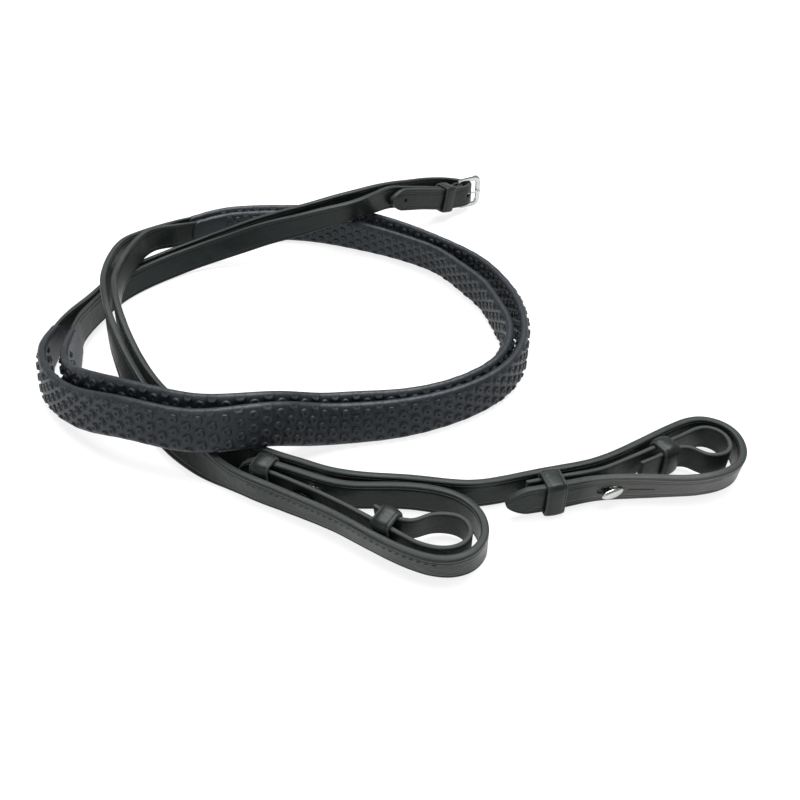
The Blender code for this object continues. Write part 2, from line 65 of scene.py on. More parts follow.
STRAP_WIDTH = 16.5
STRAP_THICKNESS = 3.8
CORE_THICKNESS = 2.6         # where the grip covers the strap
TURN_THICKNESS = 2.0         # where the strap turns round the buckle bar
TURN_LENGTH = 50.0
SKIVE_LENGTH = 12.0          # stretch over which the thickness changes
TIP_LENGTH = 12.0            # pointed end of a strap
LINER_WIDTH = 14.0
LINER_THICKNESS = 2.4
LINER_TRIM = {"right": 0.0, "left": 6.5}     # cut off the end inside the billet
EDGE_ROUND = 1.1             # how far in from its edge a strap is rounded
CREASES = (2.3, 3.6)         # distance of the two pressed lines from the edge
CREASE_HALF = 0.32
CREASE_DEPTH = 0.28
CREASE_GAP = 4.0             # plain leather between a grip and the pressed lines
STRAP_STEP = 2.0             # between the rows of points along a strap
LINER_STEP = 1.6

# Holes through a strap: half the length of their straight part, then their radius.
STUD_SLOT = (4.3, 2.2)
SLOT_SLIT = (6.5, 0.16)      # a cut beside the right stud's slot
SLOT_TO_SLIT = 16.0
BAR_SLOT = (5.2, 1.5)        # where the prong leaves the turn round the bar
PRONG_HOLE = (1.2, 1.5)
TIP_HOLE = (0.0, 1.3)
TIP_TO_HOLE = 13.0
STUD_HOLE = (0.0, 1.5)

GRIP_WIDTH = 24.5
GRIP_THICKNESS = 4.9
GRIP_HOLLOW = (17.1, 3.2)    # width and thickness of the hollow that the strap fills
PIMPLE_PITCH = 7.26          # between pimples in a row across the grip
COLUMN_PITCH = 6.35          # between rows, along the grip
PIMPLE_HEIGHT = 1.2
SMOOTH_END = 24.0            # plain rubber at each end of a grip
TAB_DEPTH = 8.0              # how far the rounded end of a grip curves back
TAPER_LENGTH = 38.0          # over which a grip narrows to its ends
TAPER_SHARE = (0.25, 0.14)   # of its width and of its thickness, lost at the very end
GRIP_LIP = 1.6               # plain rubber along both edges of a grip
LIP_GROWTH = 3.5             # how much wider the top one is at a grip's first end
LIP_FADE = 90.0              # over which it narrows again

KEEPER_WALL = 1.5
KEEPER_LENGTH = 10.0
KEEPER_PLAY = 0.8            # on each face of the straps it holds
KEEPER_HEADROOM = 0.3        # over and under their edges
FIXED_KEEPER_SHAPE = {"right": (1.3, 0.5), "left": (2.4, 0.9)}   # corner radius and bulge
RUNNING_KEEPER_SHAPE = (2.2, 1.0)
BUCKLE_KEEPER_SHAPE = (1.0, 0.3)

BAR = (59.5, 183.0, 14.2)    # centre of the buckle bar
BAR_RADIUS = 1.25
FRAME_TURN = 25.0
FRAME_HEIGHT = 21.5
FRAME_LENGTH = 18.0
FRAME_CORNER = 4.5
FRAME_BAND = (2.25, 1.3)     # half the width and half the depth of its band
BAR_BLEND = 3.0              # over which the band narrows into the bar
PRONG_RADIUS = 0.9
PRONG_TIP = 0.62             # radius near its tip
PRONG_TAPER = 8              # how many of its last points narrow to the tip
PRONG_OVERHANG = 1.2         # past the middle of the frame's far side
PRONG_SAG = 0.25
PRONG_RING = 2.5             # radius of the prong's loop round the bar

STUD_OVAL = (1.6, 0.76)      # stretch of a stud's head along and across the strap
STUD_TILT = {"right": 4.0, "left": 0.0}
STUD_DROP = 1.0              # below the middle of the liner
HEAD_RADIUS = 4.0
HEAD_DOME = 1.7
HEAD_RISE = 3.5              # top of the head over the face of the strap it holds

STITCH_PITCH = 3.4
STITCH_LENGTH = 2.7
STITCH_RADIUS = 0.42
STITCH_INSET = 4.6           # of the row from the strap's top edge
STITCH_SLANT = 0.22
STITCH_SINK = 0.12           # of its middle into the leather
STITCH_DIP = 0.3             # how much deeper its ends go

# The rein with the buckle, from its turned end on the bar to the tip of its billet.
# Each point is (x, y, height of the strap's centre line, lean in degrees).
BUCKLE_REIN = [
    (38.6, 165.9, 19.9, 0), (45.0, 171.3, 17.5, 0), (51.0, 176.4, 15.9, 0),
    (55.0, 180.8, 14.9, 0), (57.8, 184.9, 14.4, 0), (60.7, 185.3, 14.2, 0),
    (62.0, 182.4, 14.2, 0), (59.0, 179.0, 14.6, 0), (53.4, 174.8, 15.7, 0),
    (45.8, 168.6, 17.9, 0), (37.5, 162.5, 20.8, 0), (29.9, 156.1, 23.9, 0),
    (14.4, 143.4, 29.8, 0), (4.4, 134.9, 33.2, 0), (-4.6, 125.6, 34.2, 6),
    (-17.0, 114.4, 34.4, 14), (-31.0, 106.0, 34.0, 15), (-45.0, 101.5, 32.0, 10),
    (-59.0, 98.5, 29.0, 2), (-77.0, 97.0, 25.0, -6), (-102.0, 95.0, 17.5, -12),
    (-131.0, 87.5, 10.5, -12), (-155.0, 69.5, 8.6, -10), (-174.0, 45.0, 8.6, -6),
    (-182.5, 18.0, 9.4, -3), (-184.5, -12.0, 12.4, -3), (-180.5, -38.0, 12.9, -6),
    (-174.5, -62.0, 15.6, 8), (-156.0, -82.0, 22.4, 12), (-132.5, -96.5, 28.0, 12),
    (-108.5, -105.5, 28.7, 12), (-88.0, -110.8, 28.8, 12), (-68.0, -110.4, 28.8, 12),
    (-50.5, -104.2, 24.8, 12), (-31.0, -94.8, 16.2, 12), (-12.0, -88.8, 12.9, 10),
    (10.5, -86.0, 12.6, 6), (32.0, -79.8, 12.5, 2), (53.3, -67.8, 12.4, 0),
    (68.8, -52.6, 12.4, 0), (76.8, -33.8, 12.4, 0), (78.5, -12.0, 12.4, 0),
    (74.5, 8.0, 12.4, 2), (68.0, 31.0, 12.5, 5), (56.0, 52.5, 12.6, 9),
    (40.0, 76.0, 12.7, 13), (20.0, 92.5, 12.7, 14), (-2.0, 106.0, 12.7, 10),
    (-24.0, 117.0, 12.6, 6), (-47.0, 126.0, 12.5, 4), (-72.0, 131.0, 12.5, 3),
    (-98.0, 130.0, 12.5, 3), (-121.0, 123.5, 13.6, 2), (-138.0, 111.0, 16.8, 0),
    (-151.0, 97.0, 21.2, 0), (-160.5, 84.0, 25.0, 0), (-165.5, 70.0, 25.9, 0),
    (-168.0, 48.0, 26.0, 0), (-167.0, 20.0, 26.0, 0), (-160.0, -5.0, 25.6, 5),
    (-150.0, -29.0, 22.0, 12), (-139.0, -49.5, 15.6, 20), (-127.0, -67.0, 10.4, 30),
    (-112.5, -83.5, 8.4, 40), (-96.0, -98.5, 7.8, 44), (-80.0, -111.5, 7.8, 45),
    (-69.0, -118.8, 7.9, 42), (-63.0, -121.8, 8.2, 34), (-57.0, -122.9, 8.5, 14),
    (-48.0, -125.6, 8.4, 0), (-38.0, -129.8, 8.4, 0),
    (-22.0, -136.5, 8.4, 0), (-4.0, -140.3, 8.4, 0), (14.0, -141.8, 8.4, 0),
    (32.0, -144.3, 8.4, 0), (47.0, -145.8, 8.4, 0), (66.0, -142.3, 8.4, 0),
    (87.0, -136.6, 8.4, 0), (107.0, -131.3, 8.4, 0), (124.0, -123.3, 8.4, 0),
    (142.0, -112.3, 8.4, 0), (157.0, -103.3, 8.4, 0), (173.0, -98.3, 8.4, 0),
    (184.5, -105.0, 8.4, 0), (187.5, -117.0, 8.4, 0), (182.5, -129.5, 8.5, 6),
    (169.0, -138.0, 8.6, 12), (150.0, -141.0, 8.7, 14), (128.0, -141.5, 9.0, 6),
    (108.0, -143.6, 9.5, 3), (91.0, -148.4, 10.0, 0), (77.0, -151.8, 10.1, 0),
    (63.5, -154.0, 10.1, 0)]

# The rein with the pointed end, from its point through the buckle to its billet.
POINTED_REIN = [
    (6.4, 130.8, 32.9, 0), (17.4, 139.9, 29.3, 0), (32.7, 152.7, 23.9, 0),
    (48.0, 165.5, 17.9, 0), (55.7, 172.0, 15.8, 0), (63.0, 178.0, 14.4, 0),
    (67.0, 181.8, 14.2, 0), (68.4, 185.2, 14.2, 0), (67.3, 188.8, 14.2, 0),
    (62.5, 191.6, 14.2, 0), (56.0, 191.6, 15.0, 0), (47.0, 188.0, 17.2, 0),
    (37.0, 180.5, 20.4, 0), (24.0, 167.0, 25.2, 0), (11.0, 152.0, 30.2, 2),
    (-2.0, 139.5, 33.8, 5), (-16.0, 130.0, 34.6, 8), (-30.0, 121.5, 34.6, 8),
    (-44.0, 115.0, 33.0, 6), (-60.0, 109.8, 30.2, 0), (-82.0, 106.6, 24.6, -8),
    (-106.0, 103.0, 17.4, -12), (-134.0, 94.5, 10.4, -12), (-159.0, 75.0, 8.7, -10),
    (-179.0, 48.5, 8.7, -6), (-188.0, 20.0, 9.6, -3), (-194.0, -6.0, 12.3, 0),
    (-196.0, -27.0, 12.5, 2), (-193.0, -49.0, 13.6, 8), (-181.0, -71.5, 15.6, 10),
    (-156.5, -95.0, 20.4, 12), (-129.5, -110.5, 27.6, 12), (-108.5, -118.5, 28.8, 12),
    (-88.0, -122.8, 28.9, 12), (-67.0, -121.0, 29.4, 12), (-50.5, -114.5, 26.2, 12),
    (-31.0, -104.2, 17.0, 12), (-12.0, -98.4, 13.0, 10), (13.0, -94.0, 12.6, 6),
    (35.0, -86.6, 12.5, 2), (57.8, -73.6, 12.4, 0), (74.6, -57.0, 12.4, 0),
    (84.4, -37.2, 12.4, 0), (88.0, -15.0, 12.4, 0), (86.5, 11.0, 12.4, 0),
    (80.0, 36.0, 12.4, 2), (67.5, 62.0, 12.5, 4), (50.0, 82.5, 12.5, 5),
    (28.0, 102.5, 12.5, 5), (6.0, 119.5, 12.5, 5), (-16.0, 131.5, 12.5, 4),
    (-42.0, 139.0, 12.5, 3), (-70.0, 140.5, 12.5, 3), (-98.0, 139.5, 12.5, 2),
    (-124.0, 134.0, 12.8, 2), (-145.0, 122.0, 14.6, 0), (-160.0, 104.5, 17.8, 0),
    (-170.5, 86.0, 21.6, 0), (-175.8, 69.0, 24.6, 0), (-177.0, 50.0, 26.0, 0),
    (-176.0, 31.0, 26.0, 0), (-172.0, 12.0, 26.0, 0), (-164.5, -10.0, 25.6, 5),
    (-154.5, -33.5, 21.2, 14), (-142.5, -56.0, 14.2, 26), (-129.0, -77.0, 8.8, 40),
    (-114.5, -96.0, 7.8, 44), (-101.0, -111.0, 8.1, 40), (-89.0, -122.0, 8.5, 30),
    (-76.0, -132.0, 8.4, 4), (-55.0, -144.3, 8.4, -5), (-35.0, -154.6, 8.5, -9),
    (-15.0, -166.0, 8.6, -12), (4.0, -179.0, 8.6, -14), (19.0, -187.6, 8.7, -14),
    (33.0, -191.3, 8.7, -13), (45.0, -187.3, 8.6, -7), (51.5, -177.0, 8.4, 0),
    (49.0, -163.5, 8.4, 0), (40.0, -154.0, 8.4, 0), (26.0, -149.0, 8.4, 0),
    (8.0, -147.0, 8.4, 0), (-10.0, -146.8, 8.4, 0), (-26.0, -143.4, 9.2, 0),
    (-42.0, -137.0, 10.0, 0), (-56.0, -131.8, 10.1, 0), (-67.5, -129.2, 10.1, 0)]

# The liners inside the billets, from the fixed keeper round the bit loop and back.
RIGHT_LINER = [
    (74.0, -146.2, 10.1, 0), (87.0, -143.0, 10.1, 0), (100.0, -140.0, 10.1, 0),
    (112.0, -136.2, 9.4, 0), (122.0, -131.0, 8.9, 0), (131.0, -126.0, 8.9, 0),
    (141.0, -120.5, 8.9, 0), (151.0, -115.0, 8.9, 0), (160.0, -110.0, 8.9, 0),
    (167.0, -106.0, 8.9, 0), (173.5, -104.4, 8.9, 0), (179.5, -107.5, 8.9, 0),
    (182.0, -114.0, 8.9, 0), (180.0, -121.5, 8.9, 0), (174.0, -125.2, 8.9, 0),
    (167.0, -124.4, 8.9, 0), (161.0, -120.2, 8.9, 0), (154.0, -120.1, 8.9, 0),
    (144.0, -125.6, 8.9, 0), (133.0, -131.6, 8.9, 0)]

LEFT_LINER = [
    (-61.0, -134.2, 10.1, 0), (-50.0, -139.3, 10.1, 0), (-38.0, -145.2, 9.6, 0),
    (-27.0, -151.0, 9.2, -2), (-17.0, -157.0, 9.4, -5), (-7.0, -163.4, 9.6, -7),
    (2.0, -169.6, 9.7, -8), (10.0, -175.0, 9.7, -9), (17.0, -179.8, 9.4, -10),
    (26.0, -183.8, 9.0, -12), (35.0, -184.6, 8.9, -11), (42.5, -181.0, 8.9, -6),
    (45.0, -174.5, 8.9, 0), (41.5, -168.0, 8.9, 0), (34.0, -165.4, 8.9, 2),
    (26.0, -166.8, 9.5, 4), (19.0, -170.0, 10.2, 6), (11.5, -168.4, 10.6, 8),
    (4.5, -163.4, 10.6, 8), (-4.0, -157.6, 10.4, 7)]

# Points (x, y) close to a strap, seen from above.
BUCKLE_REIN_GRIP = ((-184.0, -17.0), (-139.0, 110.0))
POINTED_REIN_GRIP = ((-195.0, -12.0), (-146.0, 121.0))
RIGHT_BILLET = {"stud": (113.0, -135.7), "slot": (115.5, -142.7), "fixed": (86.0, -143.2),
                "tip": (87.0, -149.4), "running": (147.0, -117.2), "back": (149.8, -122.4)}
LEFT_BILLET = {"stud": (-34.0, -147.3), "slot": (-31.0, -141.3), "fixed": (-55.0, -137.0),
               "tip": (-53.0, -132.2), "running": (5.2, -171.7), "back": (8.8, -166.4)}
TIP_AT_KEEPER = (49.5, 166.8)
TURN_AT_KEEPER = (45.3, 171.5)
BAR_SLOT_AT = (62.2, 183.4)
PRONG_HOLE_AT = (66.9, 181.6)
RIGHT_INNER_CREASE_FROM = (172.0, -137.0)
TIP_INNER_CREASE_TO = (60.0, 176.0)
# Ends of a stretch of the right billet that is painted paler: a painted sheen where its front face
# leans up toward the softbox.
PAINTED_SHEEN_FROM, PAINTED_SHEEN_TO = (184.0, -125.0), (99.0, -146.0)
STITCHED_FROM, STITCHED_TO = (-60.0, -141.4), (30.0, -190.9)

WHITE = (1.0, 1.0, 1.0, 1.0)
STRAP_DARK = (0.0046, 0.0058, 0.0058)
STRAP_WORN = (0.027, 0.031, 0.03)
# Colour of that painted sheen, laid into the leather's own colour.
STRAP_PAINTED_SHEEN = (0.068, 0.069, 0.065)
STRAP_ROUGHNESS = 0.34


# Tracks

def unit(vectors):
    return vectors / np.linalg.norm(vectors, axis=-1, keepdims=True)


def spline_bends(values, steps):
    """Second derivatives of the natural cubic spline through the values."""
    count = len(values)
    system = np.eye(count)
    target = np.zeros_like(values)
    for i in range(1, count - 1):
        before, after = steps[i - 1], steps[i]
        system[i, i - 1:i + 2] = before, 2 * (before + after), after
        rise = (values[i + 1] - values[i]) / after
        target[i] = 6 * (rise - (values[i] - values[i - 1]) / before)
    return np.linalg.solve(system, target)


def smooth_route(points, pieces=24):
    """Points close together on the spline through a route."""
    values = np.array(points, float)
    steps = np.linalg.norm(np.diff(values[:, :3], axis=0), axis=1)
    bends = spline_bends(values, steps)
    fine = []
    for i, step in enumerate(steps):
        for part in np.arange(pieces) / pieces:
            near, far = 1 - part, part
            chord = values[i] * near + values[i + 1] * far
            sag = bends[i] * (near ** 3 - near) + bends[i + 1] * (far ** 3 - far)
            fine.append(chord + sag * step ** 2 / 6)
    fine.append(values[-1])
    return np.array(fine)


class Track:
    """The centre line of a strap on the table, which bends flat shapes to their place."""

    def __init__(self, route):
        fine = smooth_route(route)
        self.line = fine[:, :3] - CENTRE
        steps = np.linalg.norm(np.diff(self.line, axis=0), axis=1)
        self.reach = np.concatenate(([0.0], np.cumsum(steps)))
        self.length = self.reach[-1]
        self.along = unit(np.gradient(self.line, self.reach, axis=0))
        level = np.column_stack((-self.along[:, 1], self.along[:, 0], np.zeros(len(fine))))
        level = unit(level)
        lean = np.radians(fine[:, 3])[:, None]
        self.up = np.cross(self.along, level) * np.cos(lean) + level * np.sin(lean)
        self.out = unit(np.cross(self.up, self.along))

    def sample(self, values, along):
        return np.stack([np.interp(along, self.reach, column) for column in values.T], -1)

    def place(self, flat):
        """World places in metres of flat points (along, up, out)."""
        along, up, out = np.moveaxis(np.asarray(flat, float), -1, 0)
        centre = self.sample(self.line, along)
        tall = unit(self.sample(self.up, along)) * up[..., None]
        wide = unit(self.sample(self.out, along)) * out[..., None]
        return (centre + tall + wide) * MM

    def near(self, spot):
        """How far along the track passes closest to a point (x, y) of the routes."""
        goal = np.array(spot) - CENTRE[:2]
        return self.reach[np.argmin(np.linalg.norm(self.line[:, :2] - goal, axis=1))]

    def stations(self, start, end, step, turn=5.0):
        """Distances from start to end, closer together where the track turns."""
        heading = np.unwrap(np.arctan2(self.along[:, 1], self.along[:, 0]))
        share = np.diff(self.reach) / step + np.abs(np.diff(heading)) / math.radians(turn)
        count = np.concatenate(([0.0], np.cumsum(share)))
        first, last = np.interp((start, end), self.reach, count)
        wanted = np.linspace(first, last, math.ceil(last - first) + 1)
        return np.interp(wanted, count, self.reach)

    def frame(self, along):
        """(centre, along, up, out) at a distance, in millimetres, as vectors."""
        spot = np.array([along])
        tables = (self.line, self.along, self.up, self.out)
        centre, *axes = (Vector(self.sample(table, spot)[0]) for table in tables)
        return centre, *(axis.normalized() for axis in axes)


# Shapes: points and faces in flat coordinates, made into one mesh at the end

class Shape:
    def __init__(self):
        self.points, self.edge, self.faces = [], [], []
        self.count = 0

    def add(self, points, edge=0.0):
        """Adds points in an array of any shape; returns an array of their numbers."""
        points = np.asarray(points, float)
        outline = points.shape[:-1]
        self.points.append(points.reshape(-1, 3))
        self.edge.append(np.broadcast_to(edge, outline).reshape(-1).astype(float))
        numbers = np.arange(self.count, self.count + math.prod(outline)).reshape(outline)
        self.count += numbers.size
        return numbers

    def quads(self, *corners, keep=None):
        made = np.stack(corners, -1)
        self.faces.append(made[keep] if keep is not None else made.reshape(-1, len(corners)))

    def grid(self, numbers, keep=None):
        """Faces between neighbours of a table of points; keep leaves some of them out."""
        self.quads(numbers[:-1, :-1], numbers[1:, :-1], numbers[1:, 1:], numbers[:-1, 1:],
                   keep=keep)

    def bridge(self, one, two):
        """Faces between closed rings, which run along the last axis."""
        self.quads(one, np.roll(one, -1, -1), np.roll(two, -1, -1), two)

    def fan(self, ring, centre):
        middle = np.broadcast_to(centre[..., None], ring.shape)
        self.quads(ring, np.roll(ring, -1, -1), middle)

    def mesh(self, name, bend):
        """The mesh, with its flat coordinates kept as an attribute for the materials."""
        flat = np.concatenate(self.points)
        faces = [face for group in self.faces for face in group.tolist()]
        mesh = bpy.data.meshes.new(name)
        mesh.from_pydata(bend(flat).tolist(), [], faces)
        kept = (("flat", "FLOAT_VECTOR", "vector", flat.ravel()),
                ("edge", "FLOAT", "value", np.concatenate(self.edge)))
        for label, kind, field, values in kept:
            mesh.attributes.new(label, kind, "POINT").data.foreach_set(field, values)
        work = bmesh.new()
        work.from_mesh(mesh)
        loose = [vertex for vertex in work.verts if not vertex.link_faces]
        bmesh.ops.delete(work, geom=loose, context="VERTS")
        bmesh.ops.recalc_face_normals(work, faces=work.faces)
        work.to_mesh(mesh)
        work.free()
        mesh.shade_smooth()
        return mesh


def piece(name, mesh, material, body="root", nodes=()):
    """Shows the mesh as a piece that rides on a body and stands for CAD nodes."""
    item = bpy.data.objects.new(name, mesh)
    bpy.context.scene.collection.objects.link(item)
    mesh.materials.append(material)
    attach(item, body)
    if nodes:
        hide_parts(*nodes)
    return item


def block_loop(numbers, first_row, last_row, first_column, last_column):
    """Numbers round the border of a block in a table of points, in order."""
    rows, columns = slice(first_row, last_row), slice(first_column, last_column)
    return np.concatenate((
        numbers[rows, first_column], numbers[last_row, columns],
        numbers[last_row:first_row:-1, last_column],
        numbers[first_row, last_column:first_column:-1]))


def smoothstep(value):
    value = np.clip(value, 0.0, 1.0)
    return value * value * (3 - 2 * value)


def ripple(along, seed, lengths=(29.0, 53.0, 97.0)):
    """Slow unevenness along a strap, between about -1 and 1."""
    phases = np.random.default_rng(seed).uniform(0, 2 * math.pi, len(lengths))
    waves = [np.sin(2 * math.pi * along / length + phase)
             for length, phase in zip(lengths, phases)]
    return sum(waves) / len(lengths)


# Straps

def strap_columns(width):
    """(up, share of the thickness, which crease, edge) for each column of a strap."""
    half = width / 2
    turn = np.radians(np.linspace(0, 90, 6))
    columns = [(half - EDGE_ROUND * (1 - math.cos(t)), math.sin(t) ** 0.6, -1, math.cos(t) ** 0.5)
               for t in turn]
    for number, inset in enumerate(CREASES):
        for shift in (CREASE_HALF, 0.0, -CREASE_HALF):
            columns.append((half - inset + shift, 1.0, -1 if shift else number, 0.0))
    lowest = columns[-1][0]
    columns += [(up, 1.0, -1, 0.0) for up in (3.3, 2.2, 1.1) if up < lowest - 0.4]
    other = [(-up, share, crease, edge) for up, share, crease, edge in columns]
    return np.array(other + [(0.0, 1.0, -1, 0.0)] + columns[::-1])


def pointed(distance, length):
    """Share of the full width at a distance from a pointed end."""
    if not length:
        return np.ones_like(distance)
    return (1 - (1 - np.minimum(1.0, 0.012 + distance / length)) ** 1.6) ** 0.68


def skived(stretches):
    """Thickness at each distance, thinner along (start, end, thickness)."""
    def thickness(along):
        least = np.full_like(along, STRAP_THICKNESS)
        for start, end, thin in stretches:
            outside = np.maximum(np.maximum(start - along, along - end), 0.0)
            blend = np.minimum(1.0, outside / SKIVE_LENGTH)
            least = np.minimum(least, thin + (STRAP_THICKNESS - thin) * blend)
        return least
    return thickness


def capsule(points, centre, half_length, radius):
    """Points moved straight onto the outline of a slot with round ends."""
    offset = points - centre
    along = np.clip(offset[:, 0], -half_length, half_length)
    direction = unit(np.column_stack((offset[:, 0] - along, offset[:, 1])))
    return np.column_stack((centre[0] + along, np.full(len(points), centre[1]))) + direction * radius


def cut_hole(shape, faces, flat, block, hole, thickness):
    """Joins the two faces of a strap through a slot with round ends."""
    along, up, half_length, radius = hole
    loops = [block_loop(numbers, *block) for numbers in faces]
    border = block_loop(np.arange(flat.shape[0] * flat.shape[1]).reshape(flat.shape[:2]), *block)
    start = flat.reshape(-1, 2)[border]
    inner = []
    for side, loop in zip((1, -1), loops):
        for grow, drop in ((0.45, 0.0), (0.1, 0.1), (0.0, 0.4)):
            ring = capsule(start, np.array((along, up)), half_length, radius + grow)
            out = np.full(len(ring), side * (thickness / 2 - min(drop, thickness / 3)))
            numbers = shape.add(np.column_stack((ring, out)), 0.9 if drop else 0.3)
            shape.bridge(loop, numbers)
            loop = numbers
        inner.append(loop)
    shape.bridge(*inner)


def flat_strap(rows, width, thickness, points=(0, 0), creases=(), holes=(), seed=1):
    """A strap as a closed shape: two faces with shared edges, and a cap at each end.

    creases lists (face, edge, which, start, end, depth), with 1 or -1 for the left or
    right face and the top or bottom edge. holes lists (along, up, half length, radius).
    """
    shape = Shape()
    up, share, crease, edge = strap_columns(width).T
    end = rows[-1]
    narrow = pointed(rows, points[0]) * pointed(end - rows, points[1])
    near_end = np.minimum(rows, end - rows)
    soft = 0.55 + 0.45 * np.sqrt(1 - (1 - np.clip(near_end / 0.8, 0, 1)) ** 2)
    high = up[None, :] * narrow[:, None] * (1 + 0.012 * ripple(rows, seed))[:, None]
    body = (thickness(rows) * soft)[:, None] / 2 * share[None, :]
    body *= 1 + 0.03 * ripple(rows, seed + 1, (11.0, 19.0, 37.0))[:, None]
    sway = 0.1 * ripple(rows, seed + 2)[:, None] * share[None, :]
    cut_end = np.clip(1 - near_end / 1.2, 0, 1)[:, None]
    wear = np.maximum(np.broadcast_to(edge, high.shape), cut_end)
    along = np.broadcast_to(rows[:, None], high.shape)
    faces = []
    for side in (1, -1):
        groove = np.zeros_like(high)
        for face, rim, which, start, stop, depth in creases:
            if face == side:
                fade = smoothstep((rows - start) / 5) * smoothstep((stop - rows) / 5)
                line = (crease == which) & (np.sign(up) == rim)
                groove += depth * fade[:, None] * line[None, :]
        out = side * (body - groove) + sway
        faces.append(shape.add(np.stack((along, high, out), -1), wear))
    left, right = faces
    right[:, 0], right[:, -1] = left[:, 0], left[:, -1]
    keep = np.ones((len(rows) - 1, len(up) - 1), bool)
    flat = np.stack((along, high), -1)
    for hole in holes:
        spot, height, half_length, radius = hole
        room = half_length + radius + 0.9
        first, last = np.searchsorted(rows, spot - room) - 1, np.searchsorted(rows, spot + room)
        low = np.searchsorted(up, height - radius - 0.6) - 1
        top = np.searchsorted(up, height + radius + 0.6)
        keep[first:last, low:top] = False
        thick = float(thickness(np.array([spot]))[0])
        cut_hole(shape, faces, flat, (first, last, low, top), hole, thick)
    for numbers in faces:
        shape.grid(numbers, keep)
    for row in (0, -1):
        a, b = left[row], right[row]
        shape.quads(a[1:-2], a[2:-1], b[2:-1], b[1:-2])
        shape.quads(a[[0, -1]], a[[1, -2]], b[[1, -2]])
    return shape


def edge_rows(rows, points):
    """The rows with more of them near both ends, most of all at a point."""
    extra = [0.15, 0.4, 0.8, 1.3]
    end = rows[-1]
    for side, length in enumerate(points):
        near = np.concatenate((extra, np.arange(1, 19) * length / 18))
        rows = np.concatenate((rows, near if side == 0 else end - near))
    rows = np.unique(rows)
    return rows[np.concatenate(([True], np.diff(rows) > 0.08))]


def border_lines(start, end, which=0):
    """A pressed line along both edges of both faces."""
    return [(face, rim, which, start, end, CREASE_DEPTH) for face in (1, -1) for rim in (1, -1)]


# Grips: a tube of rubber cells, in which pimples take the place of blocks of four by four

CELLS_ROUND = 30
CELLS_A_PIMPLE = 4


def tube_section(width, thickness):
    """A function from a cell's place round a tube to (up, out) and the way outward."""
    radius = thickness / 2
    flat_half = width / 2 - radius
    turns = np.linspace(0, math.pi, 41)
    top = np.column_stack((flat_half + radius * np.sin(turns), radius * np.cos(turns)))
    outline = np.concatenate(([(0.0, radius)], top, -top, [(0.0, radius)]))
    steps = np.linalg.norm(np.diff(outline, axis=0), axis=1)
    reach = np.concatenate(([0.0], np.cumsum(steps)))
    reach *= CELLS_ROUND / reach[-1]

    def at(cells):
        cells = np.asarray(cells, float) % CELLS_ROUND
        spot = np.stack([np.interp(cells, reach, outline[:, k]) for k in range(2)], -1)
        bend = np.sign(spot[..., 0]) * np.maximum(np.abs(spot[..., 0]) - flat_half, 0.0)
        return spot, unit(np.stack((bend, spot[..., 1]), -1))
    return at


# Rings of a pimple, from its foot to its dimple: radius and height as shares of the whole.
PIMPLE_RADIUS = 2.45
PIMPLE_RINGS = ((1.12, 0.0), (1.02, 0.08), (0.95, 0.66), (0.78, 1.0), (0.48, 0.93), (0.25, 0.5))
DIMPLE = 0.38


def grip_tab(points, length):
    """Narrows the two ends of a grip into rounded tabs."""
    curve = 1 - np.sqrt(np.clip(1 - (points[:, 1] / (GRIP_WIDTH / 2)) ** 2, 0, 1))
    from_ends = [(way, np.abs(points[:, 0] - end)) for end, way in ((0.0, 1), (length, -1))]
    for way, distance in from_ends:
        near = smoothstep(1 - distance / (2.2 * TAB_DEPTH))
        points[:, 0] += way * near * curve * TAB_DEPTH
        points[:, 1:] *= 1 - smoothstep(1 - distance / TAPER_LENGTH)[:, None] * TAPER_SHARE
    return points


def flat_grip(length):
    """A grip from 0 to its length."""
    shape = Shape()
    columns = int((length - 2 * SMOOTH_END) / COLUMN_PITCH)
    cell = COLUMN_PITCH / CELLS_A_PIMPLE
    plain = (length - columns * COLUMN_PITCH) / 2
    smooth = np.linspace(0, plain, round(plain / cell) + 1)[1:-1]
    smooth = np.concatenate(([0.0, 0.4], smooth))
    pimpled = plain + np.arange(columns * CELLS_A_PIMPLE + 1) * cell
    rows = np.concatenate((smooth, pimpled, length - smooth[::-1]))
    outer, inner = tube_section(GRIP_WIDTH, GRIP_THICKNESS), tube_section(*GRIP_HOLLOW)
    round_cells = np.arange(CELLS_ROUND)
    cells = np.broadcast_to(round_cells, (len(rows), CELLS_ROUND))
    spots, _ = outer(cells)
    near_end = np.minimum(rows, length - rows)[:, None, None]
    spots = spots * (1 - 0.1 * np.clip(1 - near_end / 1.2, 0, 1) ** 2)
    along = np.broadcast_to(rows[:, None, None], (*cells.shape, 1))
    skin = shape.add(np.concatenate((along, spots), -1), np.abs(spots[..., 0]) / GRIP_WIDTH * 2)
    keep = np.ones((len(rows) - 1, CELLS_ROUND), bool)
    add_pimples(shape, skin, keep, rows, len(smooth), columns, outer)
    closed = np.concatenate((skin, skin[:, :1]), 1)
    shape.grid(closed, keep)
    hollow_rows = np.linspace(0, length, max(2, round(length / 4)))
    spots, _ = inner(np.broadcast_to(round_cells, (len(hollow_rows), CELLS_ROUND)))
    along = np.broadcast_to(hollow_rows[:, None, None], (*spots.shape[:2], 1))
    hollow = shape.add(np.concatenate((along, spots), -1), 0.0)
    shape.grid(np.concatenate((hollow, hollow[:, :1]), 1))
    for row in (0, -1):
        shape.bridge(skin[row], hollow[row])
    return shape


